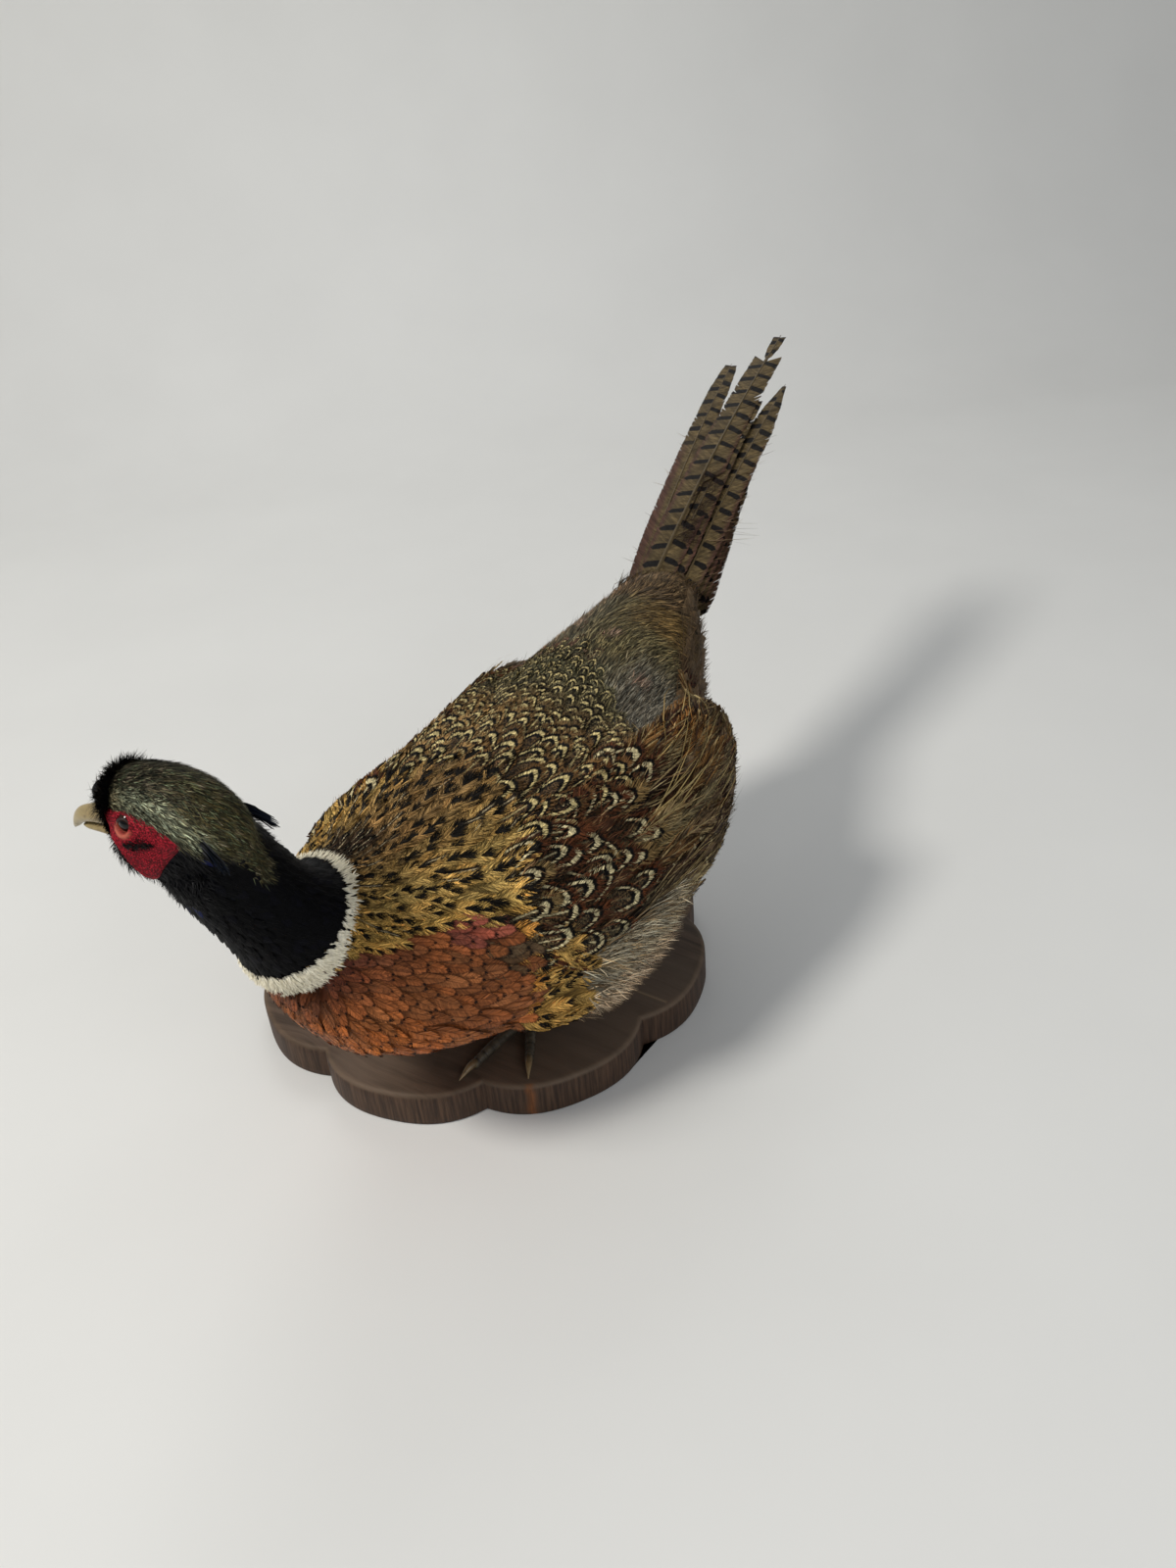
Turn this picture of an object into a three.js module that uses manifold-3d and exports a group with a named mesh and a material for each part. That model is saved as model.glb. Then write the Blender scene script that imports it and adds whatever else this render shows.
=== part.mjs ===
// A mounted cock pheasant on its scalloped wooden board, life size.
// Millimetres, +Z up. The origin is the centre of the board's underside.
// The bird heads along -Y, so its left side is on +X, and it stands on the board's front half.

import * as THREE from 'three';
import { mergeVertices } from 'three/addons/utils/BufferGeometryUtils.js';
import Module from 'manifold-3d';

const wasm = await Module();
wasm.setup();

// ---------------------------------------------------------------- driving dimensions

const GAP = 0.3; // clearance between neighbouring pieces
const DEG = Math.PI / 180;

const BOARD_RADIUS = 131; // to the crown of a scallop
const BOARD_NOTCH = 11; // depth of a notch between two scallops
const BOARD_LOBES = 8;
const BOARD_NOTCH_ANGLE = -9 * DEG; // where the first notch lies
const BOARD_THICK = 20;
const BOARD_ARRIS = 1.2; // small chamfer round both edges

const MID = 37; // x of the bird's middle plane, because it stands to one side of the board

const RING_Y = -155; // white neck ring, where the neck leaves the trunk
const RING_Z = 147;
const RING_RADIUS = 32;
const TRUNK_HALF_WIDTH = 76;
const TRUNK_HALF_DEPTH = 70;
const TAIL_ROOT = new THREE.Vector3(34, 160, 174);

const HEAD_TURN = 80 * DEG; // the head is turned to the bird's right by this much
const HEAD_CENTRE = new THREE.Vector3(32, -194, 226);
const HEAD_LENGTH = 58;
const HEAD_HEIGHT = 44;
const HEAD_WIDTH = 34;
const BILL_LENGTH = 31;
const EYE_RADIUS = 4.6;

const TAIL_TIP = new THREE.Vector3(2, 400, 275);
const VANE_THICK = 1.0;

const FOOT_LEFT = new THREE.Vector3(66, -46, BOARD_THICK);
const FOOT_RIGHT = new THREE.Vector3(9, -30, BOARD_THICK);
const TARSUS_RADIUS = 4.2;
const TOE_RADIUS = 3.2;

const AROUND = 25; // points round a section of the trunk
const UP = new THREE.Vector3(0, 0, 1);

// ---------------------------------------------------------------- materials

function finish(color, roughness, metalness = 0) {
  return new THREE.MeshStandardMaterial({ color, roughness, metalness });
}

const COLOURS = {
  wood: [0x3d2a22, 0.5],
  crown: [0x5f5f45, 0.8],
  neck: [0x0c1020, 0.45],
  back: [0x8a6a35, 0.7],
  wing: [0x7a5a3c, 0.75],
  belly: [0x3a2a22, 0.8],
  tail: [0x8f7f55, 0.7],
  bill: [0xb09a68, 0.4],
  wattle: [0xa01424, 0.6],
  eye: [0x120a06, 0.05],
  scale: [0x4b4238, 0.5],
  claw: [0x8a7350, 0.4],
};

function material(key) {
  return finish(...COLOURS[key]);
}

// ---------------------------------------------------------------- solids

function toManifold(geometry) {
  const bare = geometry.clone();
  for (const name of Object.keys(bare.attributes)) {
    if (name !== 'position') bare.deleteAttribute(name);
  }
  const welded = mergeVertices(bare.index ? bare.toNonIndexed() : bare, 1e-4);
  return new wasm.Manifold(new wasm.Mesh({
    numProp: 3,
    vertProperties: new Float32Array(welded.attributes.position.array),
    triVerts: new Uint32Array(welded.index.array),
  }));
}

function toGeometry(manifold) {
  const mesh = manifold.getMesh();
  const geometry = new THREE.BufferGeometry();
  geometry.setAttribute('position', new THREE.BufferAttribute(Float32Array.from(mesh.vertProperties), 3));
  geometry.setIndex(new THREE.BufferAttribute(Uint32Array.from(mesh.triVerts), 1));
  geometry.computeVertexNormals();
  return geometry;
}

function largestPiece(manifold) {
  if (manifold.isEmpty()) throw new Error('empty ' + manifold.status());
  const pieces = manifold.decompose();
  pieces.sort((a, b) => b.volume() - a.volume());
  return pieces[0];
}

// A closed body skinned over rings of points, with a fan over each end.
function skinRings(rings) {
  const around = rings[0].length;
  const points = [];
  const faces = [];
  for (const ring of rings) points.push(...ring);
  for (let i = 0; i < rings.length - 1; i++) {
    for (let j = 0; j < around; j++) {
      const a = i * around + j;
      const b = i * around + ((j + 1) % around);
      faces.push(a, a + around, b, b, a + around, b + around);
    }
  }
  for (const [first, turn] of [[0, 1], [(rings.length - 1) * around, -1]]) {
    const centre = new THREE.Vector3();
    for (let j = 0; j < around; j++) centre.add(points[first + j]);
    points.push(centre.divideScalar(around));
    for (let j = 0; j < around; j++) {
      const a = first + j;
      const b = first + ((j + 1) % around);
      if (turn > 0) faces.push(points.length - 1, a, b);
      else faces.push(points.length - 1, b, a);
    }
  }
  const geometry = new THREE.BufferGeometry().setFromPoints(points);
  geometry.setIndex(faces);
  return geometry;
}

// Sections along a smooth line. Each station gives its centre (at) and its half sizes: wide, above and below.
// grow adds that much to every half size and to both ends, and may be a function of the place, 0 to 1.
// fullness under 1 squares the lower half of each section.
function loft(stations, { around = 24, steps = 20, grow = 0, up = UP, fullness = 1 } = {}) {
  const growAt = typeof grow === 'function' ? grow : () => grow;
  const centres = new THREE.CatmullRomCurve3(stations.map((s) => s.at.clone()));
  const sizes = new THREE.CatmullRomCurve3(stations.map((s) => new THREE.Vector3(s.wide, s.above, s.below)));
  const rings = [];
  for (let i = 0; i <= steps; i++) {
    const t = i / steps;
    const more = growAt(t);
    const at = centres.getPoint(t);
    const along = centres.getTangent(t);
    const side = new THREE.Vector3().crossVectors(along, up).normalize();
    const over = new THREE.Vector3().crossVectors(side, along).normalize();
    const size = sizes.getPoint(t);
    if (i === 0) at.addScaledVector(along, -more);
    if (i === steps) at.addScaledVector(along, more);
    const ring = [];
    for (let j = 0; j < around; j++) {
      const angle = (2 * Math.PI * j) / around;
      const low = Math.sin(angle) < 0;
      const power = low ? fullness : 1;
      const rise = Math.sign(Math.sin(angle)) * Math.abs(Math.sin(angle)) ** power;
      const reach = Math.sign(Math.cos(angle)) * Math.abs(Math.cos(angle)) ** power;
      const high = Math.max(0.05, low ? size.z : size.y) + more;
      const wide = Math.max(0.05, size.x) + more;
      ring.push(at.clone().addScaledVector(side, wide * reach).addScaledVector(over, high * rise));
    }
    rings.push(ring);
  }
  return toManifold(skinRings(rings));
}

function station(x, y, z, wide, above, below = above) {
  return { at: new THREE.Vector3(x, y, z), wide, above, below };
}

// ---------------------------------------------------------------- board

function boardOutline() {
  const shape = new THREE.Shape();
  const count = BOARD_LOBES * 9;
  for (let i = 0; i < count; i++) {
    const angle = BOARD_NOTCH_ANGLE + (2 * Math.PI * i) / count;
    const lobe = Math.abs(Math.sin((BOARD_LOBES * (angle - BOARD_NOTCH_ANGLE)) / 2));
    const radius = BOARD_RADIUS - BOARD_ARRIS - BOARD_NOTCH * (1 - lobe) ** 1.6;
    const x = radius * Math.cos(angle);
    const y = radius * Math.sin(angle);
    if (i === 0) shape.moveTo(x, y);
    else shape.lineTo(x, y);
  }
  shape.closePath();
  return shape;
}

function board() {
  const geometry = new THREE.ExtrudeGeometry(boardOutline(), {
    depth: BOARD_THICK - 2 * BOARD_ARRIS,
    bevelThickness: BOARD_ARRIS,
    bevelSize: BOARD_ARRIS,
    bevelSegments: 1,
  });
  geometry.translate(0, 0, BOARD_ARRIS);
  return toManifold(geometry);
}

// ---------------------------------------------------------------- trunk, neck and head

const W = TRUNK_HALF_WIDTH;
const D = TRUNK_HALF_DEPTH;

const TRUNK = [
  station(MID, RING_Y, RING_Z, RING_RADIUS, RING_RADIUS),
  station(MID + 2, -128, 127, 0.76 * W, 0.66 * D, 0.81 * D),
  station(MID + 6, -86, 113, 0.97 * W, 0.86 * D, 0.89 * D),
  station(MID + 9, -36, 110, W, 0.91 * D, 0.88 * D),
  station(MID + 9, 18, 115, 0.98 * W, 0.9 * D, 0.88 * D),
  station(MID + 6, 70, 130, 0.86 * W, 0.81 * D, 0.86 * D),
  station(MID + 1, 118, 151, 0.62 * W, 0.58 * D, 0.64 * D),
  station(TAIL_ROOT.x, TAIL_ROOT.y, TAIL_ROOT.z, 0.34 * W, 0.26 * D, 0.26 * D),
  station(TAIL_ROOT.x - 2, TAIL_ROOT.y + 20, TAIL_ROOT.z + 7, 0.12 * W, 0.05 * D, 0.06 * D),
];

function trunkShape(grow = 0) {
  return loft(TRUNK, { around: AROUND, steps: 17, grow, fullness: 0.86 });
}

const headForward = new THREE.Vector3(-Math.sin(HEAD_TURN), -Math.cos(HEAD_TURN), 0.06).normalize();
const headLeft = new THREE.Vector3().crossVectors(UP, headForward).normalize();

// A point of the head, in mm ahead of its centre, to its left and above it.
function onHead(ahead, left, above) {
  return HEAD_CENTRE.clone()
    .addScaledVector(headForward, ahead)
    .addScaledVector(headLeft, left)
    .addScaledVector(UP, above);
}

function headStation(ahead, above, wide, over, under) {
  return { at: onHead(ahead, 0, above), wide, above: over, below: under };
}

const HW = HEAD_WIDTH / 2;
const HH = HEAD_HEIGHT / 2;
const HL = HEAD_LENGTH / 2;

const HEAD = [
  headStation(-1.08 * HL, -6, 0.1 * HW, 0.1 * HH, 0.1 * HH),
  headStation(-0.84 * HL, -4, 0.7 * HW, 0.46 * HH, 0.7 * HH),
  headStation(-0.35 * HL, -1, HW, 0.88 * HH, HH),
  headStation(0.2 * HL, 0, HW, HH, 1.14 * HH),
  headStation(0.7 * HL, -1, 0.82 * HW, 0.9 * HH, 0.98 * HH),
  headStation(1.02 * HL, -1, 0.6 * HW, 0.78 * HH, 0.6 * HH),
  headStation(1.25 * HL, 3, 0.4 * HW, 0.38 * HH, 0.28 * HH),
  headStation(1.44 * HL, 3, 0.14 * HW, 0.1 * HH, 0.1 * HH),
];

const NECK = [
  station(MID, RING_Y, RING_Z, RING_RADIUS, RING_RADIUS),
  station(MID + 1, RING_Y - 15, RING_Z + 22, 0.82 * RING_RADIUS, 0.75 * RING_RADIUS, 0.76 * RING_RADIUS),
  station(MID - 1, RING_Y - 28, RING_Z + 48, 0.7 * RING_RADIUS, 0.7 * RING_RADIUS),
  station(MID, RING_Y - 36, RING_Z + 66, 0.64 * RING_RADIUS, 0.66 * RING_RADIUS),
];

function headShape(grow = 0) {
  return loft(HEAD, { around: 18, steps: 10, grow });
}

function neckShape(grow = 0) {
  return loft(NECK, { around: 20, steps: 6, grow, up: new THREE.Vector3(0, 1, 0) });
}

// ---------------------------------------------------------------- bill, eyes, wattles and ear tufts

const BILL_BASE = 0.86 * HL;
const BILL_UPPER = [
  headStation(BILL_BASE - 4, -6, 6.4, 6, 4),
  headStation(BILL_BASE + 0.35 * BILL_LENGTH, -7.5, 5.4, 5, 3.4),
  headStation(BILL_BASE + 0.75 * BILL_LENGTH, -10, 3.6, 3.8, 2.8),
  headStation(BILL_BASE + BILL_LENGTH, -16, 0.8, 0.8, 1),
];
const BILL_LOWER = [
  headStation(BILL_BASE - 4, -13.2, 5.4, 2.6, 2.6),
  headStation(BILL_BASE + 0.3 * BILL_LENGTH, -13.6, 4.6, 2.1, 2.2),
  headStation(BILL_BASE + 0.78 * BILL_LENGTH, -15, 2.2, 1.2, 1.2),
];

function billUpperShape(grow = 0) {
  return loft(BILL_UPPER, { around: 12, steps: 7, grow });
}

function billLowerShape(grow = 0) {
  return loft(BILL_LOWER, { around: 10, steps: 5, grow });
}

function eyeShape(side, grow = 0) {
  const geometry = new THREE.SphereGeometry(EYE_RADIUS + grow, 12, 8);
  const at = onHead(0.41 * HL, side * 0.72 * HW, 3);
  geometry.translate(at.x, at.y, at.z);
  return toManifold(geometry);
}

// A low crimson pad over the cheek, from the bill back past the eye.
function wattleShape(side) {
  const pad = new THREE.SphereGeometry(1, 12, 7);
  pad.scale(17.5, 4.5, 14);
  pad.rotateZ(Math.atan2(headForward.y, headForward.x) + side * 6 * DEG);
  const at = onHead(0.19 * HL, side * 0.84 * HW, -8.5);
  pad.translate(at.x, at.y, at.z);
  return toManifold(pad);
}

function earTuftShape(side) {
  const tuft = [
    { at: onHead(-0.45 * HL, side * 0.64 * HW, 0.02 * HH), wide: 3.2, above: 3, below: 3 },
    { at: onHead(-0.78 * HL, side * 0.78 * HW, -0.04 * HH), wide: 2.6, above: 2.2, below: 2.2 },
    { at: onHead(-1.05 * HL, side * 0.86 * HW, -0.3 * HH), wide: 0.6, above: 0.6, below: 0.6 },
  ];
  return loft(tuft, { around: 8, steps: 4 });
}

// ---------------------------------------------------------------- wings

// Side outline of a folded wing, as distances along +Y and heights.
function wingOutline() {
  const shape = new THREE.Shape();
  shape.moveTo(-92, 122);
  shape.quadraticCurveTo(-100, 158, -58, 166);
  shape.quadraticCurveTo(30, 178, 82, 160);
  shape.quadraticCurveTo(98, 126, 70, 92);
  shape.quadraticCurveTo(10, 62, -40, 78);
  shape.quadraticCurveTo(-84, 92, -92, 122);
  return shape;
}

// How far a folded wing stands proud of the trunk at its front and behind, where its quills lie loose.
const WING_STAND = { left: [8, 19], right: [5, 9] };
const WING_INSIDE = 18; // from the middle plane to the wing's upper edge
const WING_SLAB = 130;

function wingShape(side, bird) {
  const [front, rear] = side > 0 ? WING_STAND.left : WING_STAND.right;
  const slab = new THREE.ExtrudeGeometry(wingOutline(), {
    depth: WING_SLAB,
    bevelEnabled: false,
    curveSegments: 6,
  });
  const turn = new THREE.Matrix4().makeBasis(
    new THREE.Vector3(0, 1, 0),
    new THREE.Vector3(0, 0, 1),
    new THREE.Vector3(1, 0, 0),
  );
  slab.applyMatrix4(turn);
  slab.translate(side > 0 ? MID + WING_INSIDE : MID - WING_INSIDE - WING_SLAB, 0, 0);
  const lifts = (t) => THREE.MathUtils.smoothstep(t, 0.3, 0.6);
  const settles = (t) => 1 - 0.85 * THREE.MathUtils.smoothstep(t, 0.65, 0.79);
  const stand = (t) => front + (rear - front) * lifts(t) * settles(t);
  const shell = trunkShape(stand).intersect(toManifold(slab));
  return largestPiece(shell.subtract(bird));
}

// ---------------------------------------------------------------- legs and feet

function tube(points, radii, { around = 8, steps = 4, grow = 0, up = UP } = {}) {
  const stations = points.map((at, i) => ({ at, wide: radii[i], above: radii[i], below: radii[i] }));
  return loft(stations, { around, steps, grow, up });
}

const ANKLE_RISE = new THREE.Vector3(-2, 46, 46); // from the foot to the ankle joint
function tarsusShape(foot, grow = 0) {
  const low = foot.clone().add(new THREE.Vector3(0, 0, TARSUS_RADIUS + 1.5));
  const high = foot.clone().add(ANKLE_RISE);
  const middle = low.clone().lerp(high, 0.5);
  const radii = [TARSUS_RADIUS + 0.8, TARSUS_RADIUS, TARSUS_RADIUS + 1.6];
  return tube([low, middle, high], radii, { around: 10, steps: 4, grow, up: new THREE.Vector3(1, 0, 0) });
}

// The feathered thigh and flank, a rounded mass that hides the leg down to the foot.
const THIGH_CENTRE = new THREE.Vector3(MID + 9, -16, 72);
const THIGH_OUT = 48;
const THIGH_HALF = new THREE.Vector3(33, 84, 32.5);

function thighShape(side, grow = 0) {
  const mass = new THREE.SphereGeometry(1, 16, 10);
  mass.scale(THIGH_HALF.x + grow, THIGH_HALF.y + grow, THIGH_HALF.z + grow);
  mass.translate(THIGH_CENTRE.x + side * THIGH_OUT, THIGH_CENTRE.y, THIGH_CENTRE.z);
  return toManifold(mass);
}

const TOES = [
  { name: 'middle', angle: -6, length: 46, radius: TOE_RADIUS },
  { name: 'outer', angle: 32, length: 35, radius: 0.92 * TOE_RADIUS },
  { name: 'inner', angle: -42, length: 33, radius: 0.92 * TOE_RADIUS },
  { name: 'hind', angle: 172, length: 15, radius: 0.8 * TOE_RADIUS },
];
const CLAW_LENGTH = 11;
const CLAW_DROP = 1.2;

function toeDirection(toe, side) {
  const angle = side * toe.angle * DEG;
  return new THREE.Vector3(Math.sin(angle), -Math.cos(angle), 0);
}

// A point over a toe's line, at a distance from the foot's centre and a height over the board.
function onToe(foot, along, distance, height) {
  return foot.clone().addScaledVector(along, distance).addScaledVector(UP, height);
}

function toeShape(foot, toe, side, grow = 0) {
  const along = toeDirection(toe, side);
  const root = onToe(foot, along, 3, toe.radius + 1.2);
  const knuckle = onToe(foot, along, 0.5 * toe.length, toe.radius + 0.9);
  const tip = onToe(foot, along, toe.length, 0.8 * toe.radius + GAP);
  return tube([root, knuckle, tip], [toe.radius, 0.95 * toe.radius, 0.75 * toe.radius], { grow });
}

function clawShape(foot, toe, side) {
  const along = toeDirection(toe, side);
  const low = 0.8 * toe.radius + GAP;
  const root = onToe(foot, along, toe.length - 3, low + 0.4);
  const arch = onToe(foot, along, toe.length + 0.45 * CLAW_LENGTH, low + 0.3);
  const tip = onToe(foot, along, toe.length + CLAW_LENGTH, CLAW_DROP);
  return tube([root, arch, tip], [0.72 * toe.radius, 0.5 * toe.radius, 0.35]);
}

function spurShape(foot, side) {
  const root = foot.clone().add(new THREE.Vector3(-side * 2, 11, 12));
  const tip = root.clone().add(new THREE.Vector3(-side * 4, 10, 2));
  return tube([root, root.clone().lerp(tip, 0.5), tip], [3, 2, 0.4]);
}

// ---------------------------------------------------------------- tail

const tailLine = TAIL_TIP.clone().sub(TAIL_ROOT);
const TAIL_LENGTH = tailLine.length();

const tailAlong = tailLine.clone().normalize();
const tailAcross = new THREE.Vector3().crossVectors(tailAlong, UP).normalize();
const tailOver = new THREE.Vector3().crossVectors(tailAcross, tailAlong).normalize();
const TAIL_STEP = 1.35; // between one feather's layer and the next one down
const TAIL_ARCH = 7;

// Half the width of a tail feather at t, as a share of its widest.
function tailOutline(t) {
  const root = Math.min(1, 0.75 + 1.2 * t);
  const tip = Math.sqrt(Math.max(0.02, 1 - t ** 5)) * (1 - 0.35 * t);
  return root * tip;
}

// Each feather's distance from the middle line at its root and tip, share of the full length and half width.
const TAIL_RANKS = [
  { right: [-8.5, 1, 1, 15], left: [-1, 4, 0.7, 12] },
  { right: [-17, -25, 0.87, 11], left: [9, 20, 0.79, 13] },
  { right: [-19, -19, 0.7, 10], left: [13, 17, 0.62, 12] },
  { right: [-20, -18, 0.6, 10], left: [16, 17, 0.5, 11.5] },
  { right: [-21, -18, 0.48, 10], left: [18, 17, 0.4, 11] },
  { right: [-22, -18, 0.38, 9.5], left: [19, 18, 0.32, 10] },
];

// One tail feather: a thin arched plate.
function tailFeather(rank, side, layer) {
  const [rootAside, tipAside, share, half] = TAIL_RANKS[rank][side > 0 ? 'left' : 'right'];
  const length = TAIL_LENGTH * share;
  const rings = [];
  const steps = 8;
  for (let i = 0; i <= steps; i++) {
    const t = i / steps;
    const wide = half * tailOutline(t);
    const rise = TAIL_ARCH * Math.sin((Math.PI * length * t) / TAIL_LENGTH) - TAIL_STEP * layer;
    const at = TAIL_ROOT.clone()
      .addScaledVector(tailAlong, length * t)
      .addScaledVector(tailAcross, rootAside + (tipAside - rootAside) * t)
      .addScaledVector(tailOver, rise);
    const ring = [];
    for (const [right, over] of [[-1, -1], [1, -1], [1, 1], [-1, 1]]) {
      ring.push(at.clone()
        .addScaledVector(tailAcross, right * wide)
        .addScaledVector(tailOver, (over * VANE_THICK) / 2));
    }
    rings.push(ring);
  }
  return toManifold(skinRings(rings));
}

// ---------------------------------------------------------------- assembly

const pheasant = new THREE.Group();

function add(name, manifold, key) {
  const mesh = new THREE.Mesh(toGeometry(manifold), material(key));
  mesh.name = name;
  pheasant.add(mesh);
  return mesh;
}

const sides = [['left', 1, FOOT_LEFT], ['right', -1, FOOT_RIGHT]];

add('base', board(), 'wood');

const headAndNeck = headShape(GAP).add(neckShape(GAP));
const eyes = eyeShape(1, GAP).add(eyeShape(-1, GAP));
const bill = billUpperShape(GAP).add(billLowerShape(GAP));
add('bill_upper', billUpperShape(), 'bill');
add('bill_lower', largestPiece(billLowerShape().subtract(billUpperShape(GAP))), 'bill');
add('head', largestPiece(headShape().subtract(bill).subtract(eyes)), 'crown');
add('neck', largestPiece(neckShape().subtract(headShape(GAP)).subtract(trunkShape(GAP))), 'neck');
for (const [side, sign] of sides) {
  const cut = headAndNeck.add(eyes).add(bill);
  add(`eye_${side}`, eyeShape(sign), 'eye');
  add(`wattle_${side}`, largestPiece(wattleShape(sign).subtract(cut)), 'wattle');
  add(`ear_tuft_${side}`, largestPiece(earTuftShape(sign).subtract(headAndNeck)), 'neck');
}

add('trunk', trunkShape(), 'back');
for (const [side, sign, foot] of sides) {
  const thigh = thighShape(sign).subtract(trunkShape(GAP));
  add(`wing_${side}`, wingShape(sign, trunkShape(GAP).add(thighShape(sign, GAP))), 'wing');
  add(`thigh_${side}`, largestPiece(thigh), 'belly');
  const body = trunkShape(GAP).add(thighShape(sign, GAP));
  add(`tarsus_${side}`, largestPiece(tarsusShape(foot).subtract(body)), 'scale');
}
for (let rank = 0; rank < TAIL_RANKS.length; rank++) {
  for (const [side, sign] of sides) {
    const layer = 2 * rank + (sign > 0 ? 1 : 0);
    const feather = tailFeather(rank, sign, layer).subtract(trunkShape(GAP));
    add(`tail_feather_${side}_${rank + 1}`, largestPiece(feather), 'tail');
  }
}
for (const [side, sign, foot] of sides) {
  let taken = tarsusShape(foot, GAP);
  add(`spur_${side}`, largestPiece(spurShape(foot, sign).subtract(taken)), 'claw');
  for (const toe of TOES) {
    const claw = clawShape(foot, toe, sign).subtract(toeShape(foot, toe, sign, GAP));
    add(`toe_${toe.name}_${side}`, largestPiece(toeShape(foot, toe, sign).subtract(taken)), 'scale');
    add(`claw_${toe.name}_${side}`, largestPiece(claw), 'claw');
    taken = taken.add(toeShape(foot, toe, sign, GAP));
  }
}

export default pheasant;
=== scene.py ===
"""A mounted ring-necked pheasant cock on its scalloped board.

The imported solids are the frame. One skin stands for the flesh, and vanes, tufts and horn parts
are built over it. Sizes are in millimetres, and make_mesh turns them into metres. Angles are
written in degrees and turned into radians where they are used.
"""

import math
from types import SimpleNamespace

import bpy
import numpy as np
from mathutils import Matrix, Vector, noise
from mathutils.bvhtree import BVHTree


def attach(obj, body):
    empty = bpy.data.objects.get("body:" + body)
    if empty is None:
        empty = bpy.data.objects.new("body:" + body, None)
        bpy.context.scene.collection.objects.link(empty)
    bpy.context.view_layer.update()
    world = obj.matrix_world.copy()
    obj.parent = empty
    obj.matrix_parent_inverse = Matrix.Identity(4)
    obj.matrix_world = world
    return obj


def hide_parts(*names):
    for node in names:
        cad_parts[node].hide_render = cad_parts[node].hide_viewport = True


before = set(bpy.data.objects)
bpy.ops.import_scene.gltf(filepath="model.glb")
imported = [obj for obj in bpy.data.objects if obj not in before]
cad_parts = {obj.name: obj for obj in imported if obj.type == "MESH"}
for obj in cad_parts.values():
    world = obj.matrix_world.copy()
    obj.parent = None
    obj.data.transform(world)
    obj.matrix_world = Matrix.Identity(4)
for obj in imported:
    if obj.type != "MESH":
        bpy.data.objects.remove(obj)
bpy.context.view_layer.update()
RNG = np.random.default_rng(11)

# ---------------------------------------------------------------- named sizes

RING_NORMAL = np.array([-0.134, -0.537, 0.833])
RING_LEVEL = 207.6
HEAD_CENTRE = np.array([32.0, -194.0, 226.0])
HEAD_HALF_LENGTH = 29.0
HEAD_HALF_HEIGHT = 22.0
HEAD_HALF_WIDTH = 17.0
EYE_RADIUS = 4.6
BILL_BASE = 0.86 * HEAD_HALF_LENGTH
AXIS_Y = [-155, -128, -86, -36, 18, 70, 118, 160]
AXIS_X = [37, 39, 43, 46, 46, 43, 38, 34]
AXIS_Z = [147, 127, 113, 110, 115, 130, 151, 174]
FEET = {"left": (1, np.array([66.0, -46.0, 20.0])), "right": (-1, np.array([9.0, -30.0, 20.0]))}
TAIL_ROOT = np.array([34.0, 160.0, 174.0])
TAIL_TIP = np.array([2.0, 400.0, 275.0])


def unit(v):
    """Vectors along the last axis, scaled to length 1."""
    v = np.asarray(v, float)
    return v / np.maximum(np.linalg.norm(v, axis=-1, keepdims=True), 1e-12)


UP = np.array([0.0, 0.0, 1.0])
AHEAD = unit([-math.sin(math.radians(80)), -math.cos(math.radians(80)), 0.06])
LEFT = unit(np.cross(UP, AHEAD))
ABOVE = np.cross(AHEAD, LEFT)


def on_head(ahead, left, above):
    """Points given in the head's own directions."""
    ahead, left, above = (x[..., None] for x in np.broadcast_arrays(ahead, left, above))
    return HEAD_CENTRE + ahead * AHEAD + left * LEFT + above * ABOVE


def side_name(sign):
    """The side of the bird that a sign stands for."""
    return "left" if sign > 0 else "right"


def full_turn(count):
    """Equal steps of angle, in radians, once round."""
    return np.arange(count) * 2 * math.pi / count


def smooth(x, low, high):
    """0 below low, 1 above high, with a soft turn between."""
    t = np.clip((np.asarray(x, float) - low) / (high - low), 0, 1)
    return t * t * (3 - 2 * t)


def linear(text):
    """A colour such as "#aabbcc" as linear red, green and blue."""
    c = np.array([int(text[i : i + 2], 16) for i in (1, 3, 5)]) / 255
    return np.where(c <= 0.04045, c / 12.92, ((c + 0.055) / 1.055) ** 2.4)


def rgba(text):
    """The same with alpha 1, for a socket."""
    return (*linear(text), 1.0)


# ---------------------------------------------------------------- meshes


def read(items, key, width, kind=np.float32):
    """One property of every vertex, triangle or corner, as rows of width numbers."""
    flat = np.empty(len(items) * width, kind)
    items.foreach_get(key, flat)
    return flat.reshape(-1, width)


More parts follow.
